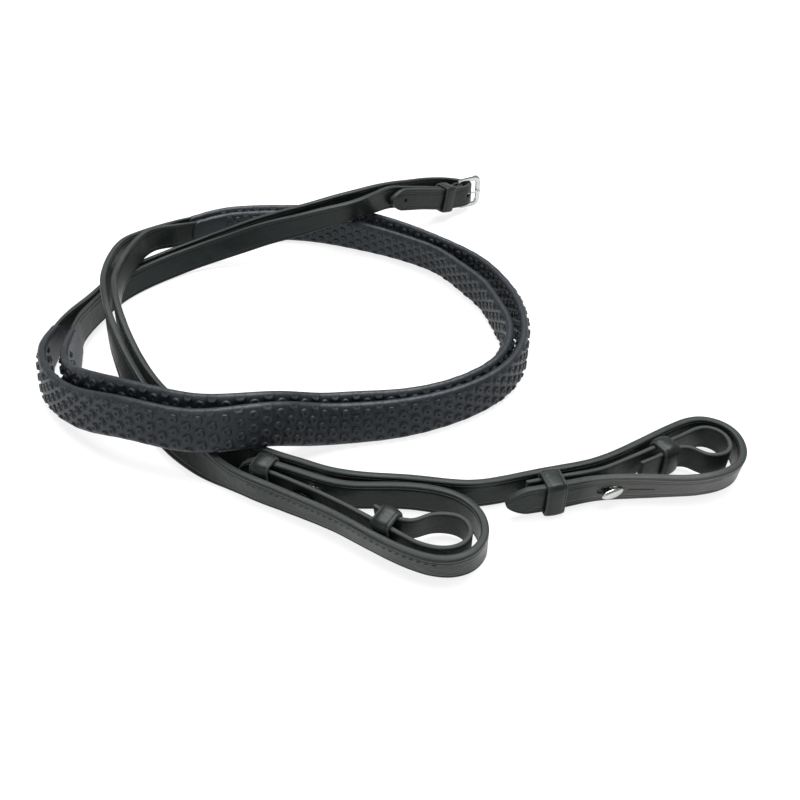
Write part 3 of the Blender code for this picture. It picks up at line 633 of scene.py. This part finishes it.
def add_pimples(shape, skin, keep, rows, first_row, columns, outer):
    """Puts rings of points where blocks of cells were."""
    blocks = []
    for column in range(columns):
        row = first_row + column * CELLS_A_PIMPLE
        for middle, odd in ((0, column % 2), (CELLS_ROUND // 2, 1 - column % 2)):
            starts = (-8, -4, 0, 4) if odd else (-6, -2, 2)
            blocks += [(row, middle + start) for start in starts]
    wide = np.concatenate((skin, skin, skin), 1)
    loops = []
    for row, cell in blocks:
        loops.append(block_loop(wide, row, row + CELLS_A_PIMPLE, CELLS_ROUND + cell,
                                CELLS_ROUND + cell + CELLS_A_PIMPLE))
        keep[row:row + CELLS_A_PIMPLE, np.arange(cell, cell + CELLS_A_PIMPLE) % CELLS_ROUND] = False
    loop = np.array(loops)
    centre_row = np.array([rows[row] for row, _ in blocks]) + COLUMN_PITCH / 2
    centre_cell = np.array([cell for _, cell in blocks]) + CELLS_A_PIMPLE / 2
    cell_size = PIMPLE_PITCH / CELLS_A_PIMPLE
    side = CELLS_A_PIMPLE / 2
    corner = np.arange(CELLS_A_PIMPLE) - side
    edge = np.full(CELLS_A_PIMPLE, side)
    border_row = np.concatenate((corner, edge, -corner, -edge)) * COLUMN_PITCH / CELLS_A_PIMPLE
    border_cell = np.concatenate((-edge, corner, edge, -corner)) * cell_size
    angle = np.arctan2(border_cell, border_row)
    random = np.random.default_rng(5)
    size = random.uniform(0.95, 1.04, len(blocks))
    tall = random.uniform(0.85, 1.1, len(blocks))
    for radius, height in PIMPLE_RINGS + ((0.0, DIMPLE),):
        reach = radius * PIMPLE_RADIUS * size[:, None]
        around = angle if radius else angle[:1]
        along = centre_row[:, None] + reach * np.cos(around)
        cells = centre_cell[:, None] + reach * np.sin(around) / cell_size
        spot, way = outer(cells)
        lift = pimple_lift(along, spot) * (height * tall * PIMPLE_HEIGHT)[:, None]
        spot = spot + way * lift[..., None]
        numbers = shape.add(np.concatenate((along[..., None], spot), -1), height * 0.5)
        if radius:
            shape.bridge(loop, numbers)
            loop = numbers
        else:
            shape.fan(loop, numbers[:, 0])


def lip_width(along):
    """Width of the plain rubber under a grip's top edge."""
    return GRIP_LIP + LIP_GROWTH * smoothstep(1 - along / LIP_FADE)


def pimple_lift(along, spot):
    """How much of its height a pimple has at a spot: none on the smooth lips."""
    up = spot[..., 0]
    from_top = GRIP_WIDTH / 2 - up
    from_bottom = GRIP_WIDTH / 2 + up
    return smoothstep((from_top - lip_width(along)) / 1.2) * smoothstep((from_bottom - GRIP_LIP) / 1.2)


# Keepers, metal and stitches

def keeper_mesh(name, first, second, height, corner, bulge):
    """A leather loop round two straps, each given as (track, half its thickness, (x, y))."""
    track, half_first, spot = first
    centre, along, up, out = track.frame(track.near(spot))
    other = second[0].frame(second[0].near(second[2]))[0]
    toward = (other - centre).dot(out)
    depth = abs(toward) + half_first + second[1] + 2 * KEEPER_PLAY
    centre = centre + out * (toward + math.copysign(1, toward) * (second[1] - half_first)) / 2
    spots, normals = rounded_outline(depth, height + 2 * KEEPER_HEADROOM, corner)
    half = KEEPER_LENGTH / 2
    across = np.array((-5, -4.93, -4.7, -4.1, -3.85, -3.6, -2.4, -1.2, 0,
                       1.2, 2.4, 3.6, 3.85, 4.1, 4.7, 4.93, 5)) / 5 * half
    swell = KEEPER_WALL + bulge * (1 - (across / half) ** 2)
    swell[[4, 12]] -= 0.22
    swell[[0, -1]] -= 0.75
    swell[[1, -2]] -= 0.3
    swell[[2, -3]] -= 0.08
    inside = np.linspace(half, -half, 7)
    profile_x = np.concatenate((across, inside))
    profile_n = np.concatenate((swell, np.array((0.35, 0.05, 0, 0, 0, 0.05, 0.35)) * 0.9))
    shape = Shape()
    shape_points = np.zeros((len(spots), len(profile_x), 3))
    shape_points[..., 0] = profile_x
    shape_points[..., 1:] = spots[:, None, :] + normals[:, None, :] * profile_n[None, :, None]
    worn = (np.abs(profile_x) / half) ** 6
    rings = shape.add(shape_points, worn)
    shape.bridge(rings, np.roll(rings, -1, 0))

    def bend(flat):
        axes = np.array((along, up, out))
        return (np.array(centre) + flat @ axes) * MM
    return shape.mesh(name, bend)


def rounded_outline(depth, height, corner, steps=8):
    """Points (up, out) round a rounded rectangle and the way outward at each."""
    spots, normals = [], []
    for quarter in range(4):
        angles = np.radians(90 * quarter + np.linspace(0, 90, steps))
        ways = np.column_stack((np.cos(angles), np.sin(angles)))
        middle = np.sign(ways[steps // 2]) * (height / 2 - corner, depth / 2 - corner)
        spots.append(middle + corner * ways)
        normals.append(ways)
    return np.concatenate(spots), np.concatenate(normals)


def move(place, points):
    """World places in metres of points in millimetres, moved by a matrix in millimetres."""
    place = np.array(place)
    return (points @ place[:3, :3].T + place[:3, 3]) * MM


def lathe_mesh(name, profile, oval, place, steps=48):
    """A turned piece from (radius, height) points, stretched along the strap by oval."""
    angles = np.linspace(0, 2 * math.pi, steps, endpoint=False)
    shape = Shape()
    rings = []
    for radius, height in profile:
        around = angles if radius else angles[:1]
        ring = np.column_stack((radius * oval[0] * np.cos(around), radius * oval[1] * np.sin(around),
                                np.full(len(around), height)))
        rings.append(shape.add(ring, 0.0))
    for one, two in zip(rings, rings[1:]):
        if len(one) == 1 or len(two) == 1:
            shape.fan(max(one, two, key=len), min(one, two, key=len)[0])
        else:
            shape.bridge(one, two)
    return shape.mesh(name, lambda flat: move(place, flat))


def sweep_mesh(name, centres, sides, tops, closed, place, round_steps=16):
    """A bar along the centres. sides and tops are its half-width vectors at each centre."""
    angles = np.linspace(0, 2 * math.pi, round_steps, endpoint=False)[:, None]
    shape = Shape()
    rings = centres[:, None] + np.cos(angles) * sides[:, None] + np.sin(angles) * tops[:, None]
    numbers = shape.add(rings)
    if closed:
        shape.bridge(numbers, np.roll(numbers, -1, 0))
    else:
        shape.bridge(numbers[:-1], numbers[1:])
        for row in (0, -1):
            shape.fan(numbers[row], shape.add(centres[row]))
    return shape.mesh(name, lambda flat: move(place, flat))


def stud_place(liner, strap, tilt):
    """Where a stud stands: through the liner, pointing to the strap it holds."""
    centre, along, up, out = liner
    apart = (strap[0] - centre).dot(out)
    centre = centre - up * STUD_DROP
    way = out * math.copysign(1, apart)
    side = along - way * along.dot(way)
    side.normalize()
    turn = Matrix((side, way.cross(side), way)).transposed().to_4x4()
    spin = Matrix.Rotation(math.radians(tilt), 4, "Z")
    return Matrix.Translation(centre) @ turn @ spin, abs(apart)


def stud_meshes(label, place, apart):
    """The hook stud with its domed head, and the washer behind the liner."""
    face = LINER_THICKNESS / 2 + 0.1
    foot = face + 0.8
    top = apart + STRAP_THICKNESS / 2 + HEAD_RISE
    turns = np.radians(np.linspace(0, 90, 9))
    dome = [(HEAD_RADIUS * math.sin(t), top - HEAD_DOME * (1 - math.cos(t))) for t in turns]
    neck = [(3.98, top - 1.95), (3.6, top - 2.2), (2.3, top - 2.3), (1.75, top - 2.7),
            (1.6, top - 3.3), (1.6, foot + 0.6), (1.9, foot + 0.15), (2.6, foot),
            (3.7, foot - 0.1), (4.0, foot - 0.4), (3.9, face), (1.3, face),
            (1.3, -foot - 0.3), (0.9, -foot - 0.6), (0, -foot - 0.7)]
    washer = [(1.55, -face), (3.8, -face), (4.0, -face - 0.25), (3.8, -face - 0.6),
              (3.2, -foot), (1.55, -foot), (1.55, -face)]
    return (lathe_mesh(f"{label}_hook_stud_polished", dome + neck, STUD_OVAL, place),
            lathe_mesh(f"{label}_stud_washer_polished", washer, STUD_OVAL, place))


def buckle_place():
    middle = Vector(BAR) - Vector(CENTRE)
    return Matrix.Translation(middle) @ Matrix.Rotation(math.radians(FRAME_TURN), 4, "Z")


def frame_mesh(place):
    """The buckle's frame: a half-round band, thinner where it is the bar."""
    spots, normals = rounded_outline(FRAME_HEIGHT, FRAME_LENGTH, FRAME_CORNER, 9)
    spots += (FRAME_LENGTH / 2, 0)
    centres = np.column_stack((spots[:, 0], np.zeros(len(spots)), spots[:, 1]))
    bar = smoothstep(1 - spots[:, 0] / BAR_BLEND)[:, None]
    wide, deep = (half * (1 - bar) + BAR_RADIUS * bar for half in FRAME_BAND)
    sides = np.column_stack((normals[:, 0], np.zeros(len(spots)), normals[:, 1])) * wide
    tops = np.array([(0.0, 1.0, 0.0)]) * deep
    return sweep_mesh("buckle_frame_polished", centres, sides, tops, True, place)


def prong_mesh(place):
    """The prong: a loop round the bar, then a tapered tongue that lies on the frame."""
    angles = np.radians(np.linspace(20, 270, 30))
    loop = np.column_stack((PRONG_RING * np.cos(angles), PRONG_RING * np.sin(angles)))
    reach = np.linspace(1.0, FRAME_LENGTH + PRONG_OVERHANG, 14)
    sag = PRONG_SAG * np.sin(reach / FRAME_LENGTH * math.pi)
    tongue = np.column_stack((reach, -PRONG_RING - sag))
    line = np.concatenate((loop, tongue))
    way = unit(np.gradient(line, axis=0))
    size = np.full(len(line), PRONG_RADIUS)
    size[-PRONG_TAPER:] = np.linspace(PRONG_RADIUS, PRONG_TIP, PRONG_TAPER)
    size[-1] *= 0.55
    size[0] *= 0.6
    centres = np.column_stack((line, np.zeros(len(line))))
    sides = np.column_stack((-way[:, 1], way[:, 0], np.zeros(len(line)))) * size[:, None]
    tops = np.array([(0.0, 0.0, 1.0)]) * size[:, None]
    return sweep_mesh("buckle_prong_polished", centres, sides, tops, False, place)


def stitches(name, track, runs):
    """Threads in rows; each run is (face, up, start, end, half the strap's thickness)."""
    shape = Shape()
    place = np.linspace(-1, 1, 9)
    fat = np.sqrt(np.maximum(0.02, 1 - place ** 4))
    angles = np.linspace(0, 2 * math.pi, 8, endpoint=False)
    for face, up, start, end, half in runs:
        for middle in np.arange(start, end, STITCH_PITCH):
            ring = np.zeros((len(place), len(angles), 3))
            ring[..., 0] = middle + place[:, None] * STITCH_LENGTH / 2
            ring[..., 1] = up + place[:, None] * STITCH_SLANT
            ring[..., 1] += np.cos(angles) * fat[:, None] * STITCH_RADIUS
            sink = half - STITCH_SINK - STITCH_DIP * place[:, None] ** 4
            ring[..., 2] = face * (sink + np.sin(angles) * fat[:, None] * STITCH_RADIUS)
            numbers = shape.add(ring)
            shape.bridge(numbers[:-1], numbers[1:])
            for row in (0, -1):
                shape.fan(numbers[row], shape.add(ring[row].mean(0)))
    return shape.mesh(name, track.place)


# Materials

def feed(tree, node, inputs):
    """Sets a node's inputs, each to a value or to another node's output."""
    for key, value in inputs.items():
        if isinstance(value, bpy.types.NodeSocket):
            tree.links.new(value, node.inputs[key])
        else:
            node.inputs[key].default_value = value


def add_node(tree, kind, inputs, **settings):
    made = tree.nodes.new(kind)
    for key, value in settings.items():
        setattr(made, key, value)
    feed(tree, made, inputs)
    return made


def new_material(name):
    made = bpy.data.materials.new(name)
    made.use_nodes = True
    return made, made.node_tree, made.node_tree.nodes["Principled BSDF"]


def noise(tree, vector, scale, detail=4.0, roughness=0.55):
    made = add_node(tree, "ShaderNodeTexNoise", {"Vector": vector, "Scale": scale, "Detail": detail,
                                                 "Roughness": roughness})
    return made.outputs["Fac"]


def stretched(tree, vector, scale):
    return add_node(tree, "ShaderNodeMapping", {"Vector": vector, "Scale": scale}).outputs["Vector"]


def remap(tree, value, low, high, start, end):
    made = add_node(tree, "ShaderNodeMapRange", {"Value": value, "From Min": low, "From Max": high,
                                                 "To Min": start, "To Max": end})
    return made.outputs["Result"]


def calculate(tree, operation, one, two):
    return add_node(tree, "ShaderNodeMath", {0: one, 1: two}, operation=operation).outputs[0]


def blend(tree, share, one, two):
    colours = [value if isinstance(value, bpy.types.NodeSocket) else (*value, 1.0)
               for value in (one, two)]
    made = add_node(tree, "ShaderNodeMix", {"Factor": share, 6: colours[0], 7: colours[1]},
                    data_type="RGBA")
    return made.outputs[2]


def bump(tree, height, distance, strength=1.0, under=None):
    inputs = {"Height": height, "Distance": distance * MM, "Strength": strength}
    if under is not None:
        inputs["Normal"] = under
    return add_node(tree, "ShaderNodeBump", inputs).outputs["Normal"]


def flat_inputs(tree):
    place = add_node(tree, "ShaderNodeAttribute", {}, attribute_name="flat").outputs["Vector"]
    edge = add_node(tree, "ShaderNodeAttribute", {}, attribute_name="edge").outputs["Fac"]
    return place, edge


def leather(name, dark, worn, roughness, grain=1.0, pale=None):
    """Black bridle leather: fine grain, slow unevenness, paler on its raw and worn edges.

    pale is (start, end, colour) of a stretch of strap that is painted paler: a painted sheen where the
    strap faces the light.
    """
    made, tree, shader = new_material(name)
    place, edge = flat_inputs(tree)
    slow = noise(tree, place, 0.045, 3.0)
    streaks = noise(tree, stretched(tree, place, (0.05, 0.7, 0.7)), 1.0, 4.0)
    cells = add_node(tree, "ShaderNodeTexVoronoi", {"Vector": place, "Scale": 1.35, "Smoothness": 0.4},
                     feature="SMOOTH_F1").outputs["Distance"]
    fine = noise(tree, place, 3.6, 3.0, 0.6)
    wear_and_painted_sheen = calculate(tree, "MULTIPLY", remap(tree, edge, 0.25, 0.95, 0.0, 1.0),
                       remap(tree, streaks, 0.3, 0.7, 0.35, 1.0))
    tone = blend(tree, remap(tree, slow, 0.35, 0.68, 0.0, 1.0), dark,
                 tuple(channel * 1.7 for channel in dark))
    # Painted sheen: the pale stretch is lighter colour where the strap faces the light, fading out at
    # both ends.
    if pale:
        start, end, colour = pale
        reach = add_node(tree, "ShaderNodeSeparateXYZ", {"Vector": place}).outputs["X"]
        inside = calculate(tree, "MULTIPLY", remap(tree, reach, start, start + 30, 0.0, 1.0),
                           remap(tree, reach, end - 12, end, 1.0, 0.0))
        inside = calculate(tree, "MULTIPLY", inside, remap(tree, streaks, 0.25, 0.75, 0.7, 1.0))
        tone = blend(tree, inside, tone, colour)
    shine = remap(tree, calculate(tree, "ADD", slow, streaks), 0.7, 1.3, roughness - 0.06,
                  roughness + 0.09)
    skin = bump(tree, calculate(tree, "ADD", cells, calculate(tree, "MULTIPLY", fine, 0.6)),
                0.05 * grain, 0.55)
    feed(tree, shader, {
        "Base Color": blend(tree, wear_and_painted_sheen, tone, worn),
        "Roughness": calculate(tree, "ADD", shine, calculate(tree, "MULTIPLY", wear_and_painted_sheen, 0.22)),
        "Specular IOR Level": 0.23, "Specular Tint": (0.9, 1.0, 0.98, 1.0),
        "Sheen Weight": 0.03, "Sheen Roughness": 0.5,
        "Normal": bump(tree, noise(tree, place, 0.22, 2.0), 0.5, 0.5, skin)})
    return made


def rubber(name):
    """Matte black rubber, a little dusty between the pimples and smoother on top of them."""
    made, tree, shader = new_material(name)
    place, edge = flat_inputs(tree)
    slow = noise(tree, place, 0.06, 4.0)
    dust = noise(tree, place, 0.9, 5.0, 0.65)
    fine = noise(tree, place, 4.5, 3.0, 0.6)
    tone = blend(tree, remap(tree, slow, 0.35, 0.7, 0.0, 1.0), (0.0085, 0.0098, 0.0125),
                 (0.0135, 0.0155, 0.0185))
    tone = blend(tree, remap(tree, dust, 0.5, 0.8, 0.0, 0.5), tone, (0.022, 0.0245, 0.028))
    tone = blend(tree, remap(tree, edge, 0.3, 1.0, 0.0, 0.35), tone, (0.03, 0.033, 0.037))
    matt = calculate(tree, "SUBTRACT", dust, calculate(tree, "MULTIPLY", edge, 0.2))
    feed(tree, shader, {
        "Base Color": tone, "Roughness": remap(tree, matt, 0.2, 0.75, 0.4, 0.56),
        "Specular IOR Level": 0.36, "Specular Tint": (0.86, 0.95, 1.0, 1.0),
        "Normal": bump(tree, dust, 0.12, 0.4, bump(tree, fine, 0.035, 0.6))})
    return made


def steel(name, dull, bright):
    """Polished steel with faint rubbing marks."""
    made, tree, shader = new_material(name)
    place, _ = flat_inputs(tree)
    marks = noise(tree, stretched(tree, place, (0.4, 2.0, 2.0)), 1.6, 5.0, 0.6)
    slow = noise(tree, place, 0.35, 2.0)
    feed(tree, shader, {
        "Base Color": blend(tree, slow, dull, bright), "Metallic": 1.0,
        "Roughness": remap(tree, marks, 0.3, 0.75, 0.12, 0.26),
        "Normal": bump(tree, marks, 0.02, 0.3)})
    return made


def thread(name):
    """Waxed black thread, twisted."""
    made, tree, shader = new_material(name)
    place, _ = flat_inputs(tree)
    twist = add_node(tree, "ShaderNodeTexWave", {"Vector": place, "Scale": 0.7, "Distortion": 1.0},
                     bands_direction="DIAGONAL").outputs["Fac"]
    feed(tree, shader, {
        "Base Color": blend(tree, twist, (0.006, 0.006, 0.007), (0.02, 0.02, 0.022)),
        "Roughness": remap(tree, noise(tree, place, 2.0), 0.3, 0.7, 0.5, 0.7),
        "Normal": bump(tree, twist, 0.08, 0.8)})
    return made


def floor_material():
    made, tree, shader = new_material("studio_floor")
    place = add_node(tree, "ShaderNodeTexCoord", {}).outputs["Object"]
    pale = blend(tree, noise(tree, place, 3.0), (0.24, 0.24, 0.24), (0.26, 0.26, 0.26))
    feed(tree, shader, {
        "Base Color": pale, "Roughness": 0.9, "Specular IOR Level": 0.0,
        "Emission Color": WHITE, "Emission Strength": 0.8})
    return made


# The studio, in metres

CAMERA_PLACE = (0.018, -0.4204, 0.290)
CAMERA_PITCH = 39            # degrees below level
WORLD_LIGHT = 0.36
FLOOR_HALF = 6.0


def area_light(name, place, size, power):
    """A rectangular light that aims at the middle of the reins."""
    data = bpy.data.lights.new(name, "AREA")
    data.shape = "RECTANGLE"
    data.size, data.size_y = size
    data.energy = power
    lamp = bpy.data.objects.new(name, data)
    lamp.location = place
    lamp.rotation_euler = (-Vector(place)).to_track_quat("-Z", "Y").to_euler()
    bpy.context.scene.collection.objects.link(lamp)


def studio():
    scene = bpy.context.scene
    data = bpy.data.cameras.new("camera")
    data.lens, data.sensor_width = 36.0, 36.0
    data.clip_start, data.clip_end = 0.01, 50.0
    camera = bpy.data.objects.new("camera", data)
    camera.location = CAMERA_PLACE
    camera.rotation_euler = (math.radians(90 - CAMERA_PITCH), 0, 0)
    scene.collection.objects.link(camera)
    scene.camera = camera
    scene.view_settings.view_transform = "Standard"
    world = bpy.data.worlds.new("studio")
    scene.world = world
    world.use_nodes = True
    tree = world.node_tree
    feed(tree, tree.nodes["Background"], {"Color": WHITE, "Strength": WORLD_LIGHT})
    area_light("softbox", (0.1, 0.35, 1.5), (1.6, 1.2), 54.0)
    area_light("front_fill", (-0.6, -1.4, 1.0), (1.2, 0.8), 5.0)
    mesh = bpy.data.meshes.new("studio_floor")
    corners = ((-1, -1), (1, -1), (1, 1), (-1, 1))
    mesh.from_pydata([(x * FLOOR_HALF, y * FLOOR_HALF, -MM / 5) for x, y in corners], [],
                     [(0, 1, 2, 3)])
    ground = bpy.data.objects.new("studio_floor", mesh)
    mesh.materials.append(floor_material())
    scene.collection.objects.link(ground)


# The reins

def grip_piece(label, track, ends, material):
    """Shows a grip; returns how far along the track it starts and ends."""
    start, end = (track.near(spot) for spot in ends)
    name = f"{label}_rubber_grip_pimpled"
    shape = flat_grip(end - start)

    def bend(flat):
        return track.place(grip_tab(flat.copy(), end - start) + (start, 0, 0))
    mesh = shape.mesh(name, bend)
    piece(name, mesh, material, nodes=[f"{label}_rubber_grip"])
    return start, end


def make_finishes():
    return {
        "liner": leather("liner_leather", (0.0058, 0.0068, 0.0064), (0.042, 0.047, 0.044), 0.44, 1.6),
        "keeper": leather("keeper_leather", (0.008, 0.0094, 0.0093), (0.05, 0.056, 0.055), 0.37),
        "rubber": rubber("pimpled_rubber"),
        "steel": steel("polished_steel", (0.42, 0.43, 0.42), (0.6, 0.61, 0.595)),
        "washer": steel("blackened_steel", (0.02, 0.021, 0.021), (0.035, 0.036, 0.036)),
        "thread": thread("waxed_thread"),
    }


def strap_piece(label, track, points, thin, holes, inner_crease, grip, material):
    """A rein's strap. grip is (start, end) of its grip; inner_crease is (start, end)."""
    start, end = grip
    covered = (start - SKIVE_LENGTH / 2, end + SKIVE_LENGTH / 2, CORE_THICKNESS)
    rows = edge_rows(track.stations(0, track.length, STRAP_STEP), points)
    creases = border_lines(0, start - CREASE_GAP) + border_lines(end + CREASE_GAP, track.length)
    creases += border_lines(*inner_crease, 1)
    shape = flat_strap(rows, STRAP_WIDTH, skived([covered, *thin]), points, creases, holes)
    name = f"{label}_strap_leather"
    piece(name, shape.mesh(name, track.place), material, nodes=[f"{label}_strap"])


def buckle_rein_strap(track, grip):
    """The strap that turns round the buckle bar and ends in the right billet."""
    # Painted sheen: the right billet's front is painted paler between these two points; the edges are
    # paler from wear.
    wear_and_painted_sheen = (track.near(PAINTED_SHEEN_FROM), track.near(PAINTED_SHEEN_TO), STRAP_PAINTED_SHEEN)
    material = leather("buckle_rein_leather", STRAP_DARK, STRAP_WORN, STRAP_ROUGHNESS, pale=wear_and_painted_sheen)
    slot = track.near(RIGHT_BILLET["slot"])
    holes = [(slot, 0.0, *STUD_SLOT), (slot - SLOT_TO_SLIT, 0.0, *SLOT_SLIT),
             (track.near(BAR_SLOT_AT), 0.0, *BAR_SLOT)]
    inner_crease = (track.near(RIGHT_INNER_CREASE_FROM), track.length - TIP_LENGTH)
    strap_piece("buckle_rein", track, (0, TIP_LENGTH), [(0.0, TURN_LENGTH, TURN_THICKNESS)],
                holes, inner_crease, grip, material)


def pointed_rein_strap(track, grip):
    """The strap with the pointed end, which ends in the left billet."""
    material = leather("pointed_rein_leather", STRAP_DARK, STRAP_WORN, STRAP_ROUGHNESS)
    holes = [(track.near(LEFT_BILLET["slot"]), 0.0, *STUD_SLOT),
             (track.near(PRONG_HOLE_AT), 0.0, *PRONG_HOLE), (TIP_TO_HOLE, 0.0, *TIP_HOLE)]
    inner_crease = (0, track.near(TIP_INNER_CREASE_TO))
    strap_piece("pointed_rein", track, (TIP_LENGTH, TIP_LENGTH), [], holes, inner_crease, grip,
                material)


def liner_piece(side, track, stud, material):
    rows = edge_rows(track.stations(0, track.length - LINER_TRIM[side], LINER_STEP), (0, 0))
    shape = flat_strap(rows, LINER_WIDTH, lambda along: np.full_like(along, LINER_THICKNESS),
                       holes=[(stud, -STUD_DROP, *STUD_HOLE)], seed=4)
    name = f"{side}_billet_liner_leather"
    piece(name, shape.mesh(name, track.place), material,
          nodes=[f"{side}_billet_liner"])


def stud_pieces(side, liner, strap, finishes):
    place, apart = stud_place(liner, strap, STUD_TILT[side])
    stud, washer = stud_meshes(side, place, apart)
    piece(stud.name, stud, finishes["steel"], nodes=[f"{side}_hook_stud"])
    piece(washer.name, washer, finishes["washer"], nodes=[f"{side}_stud_washer"])


def keeper_piece(label, first, second, height, shape, material, body="root"):
    name = f"{label}_leather"
    mesh = keeper_mesh(name, first, second, height, *shape)
    piece(name, mesh, material, body, [label])


def billet_pieces(side, track, rein, spots, finishes):
    """The liner of a billet with its stud, and the two keepers round it."""
    stud = track.near(spots["stud"])
    liner_piece(side, track, stud, finishes["liner"])
    stud_pieces(side, track.frame(stud), rein.frame(rein.near(spots["slot"])), finishes)
    half_strap, half_liner = STRAP_THICKNESS / 2, LINER_THICKNESS / 2
    keeper_piece(f"{side}_fixed_keeper", (track, half_liner, spots["fixed"]),
                 (rein, half_strap, spots["tip"]), STRAP_WIDTH, FIXED_KEEPER_SHAPE[side],
                 finishes["keeper"])
    keeper_piece(f"{side}_running_keeper", (track, half_liner, spots["running"]),
                 (track, half_liner, spots["back"]), LINER_WIDTH, RUNNING_KEEPER_SHAPE,
                 finishes["keeper"], f"{side}_running_keeper")


def buckle_pieces(pointed_track, buckle_track, finishes):
    keeper_piece("buckle_keeper", (pointed_track, STRAP_THICKNESS / 2, TIP_AT_KEEPER),
                 (buckle_track, TURN_THICKNESS / 2, TURN_AT_KEEPER), STRAP_WIDTH,
                 BUCKLE_KEEPER_SHAPE, finishes["keeper"])
    place = buckle_place()
    piece("buckle_frame_polished", frame_mesh(place), finishes["steel"],
          "buckle_frame", ["buckle_frame"])
    piece("buckle_prong_polished", prong_mesh(place), finishes["steel"],
          "buckle_prong", ["buckle_prong"])


def stitching(track, material):
    """The row of thread along the outer face of the left billet."""
    row = (-1, STRAP_WIDTH / 2 - STITCH_INSET, track.near(STITCHED_FROM), track.near(STITCHED_TO),
           STRAP_THICKNESS / 2)
    mesh = stitches("left_billet_stitching", track, [row])
    piece("left_billet_stitching", mesh, material)


def main():
    studio()
    finishes = make_finishes()
    buckle_track, pointed_track = Track(BUCKLE_REIN), Track(POINTED_REIN)
    rubber_look = finishes["rubber"]
    buckle_grip = grip_piece("buckle_rein", buckle_track, BUCKLE_REIN_GRIP, rubber_look)
    pointed_grip = grip_piece("pointed_rein", pointed_track, POINTED_REIN_GRIP, rubber_look)
    buckle_rein_strap(buckle_track, buckle_grip)
    pointed_rein_strap(pointed_track, pointed_grip)
    billet_pieces("right", Track(RIGHT_LINER), buckle_track, RIGHT_BILLET, finishes)
    billet_pieces("left", Track(LEFT_LINER), pointed_track, LEFT_BILLET, finishes)
    buckle_pieces(pointed_track, buckle_track, finishes)
    stitching(pointed_track, finishes["thread"])


# JSON can't hold vectors, so the boxes are kept as plain lists.
CAD_BOX = [[float(value) for value in corner] for corner in CAD_BOX]
main()
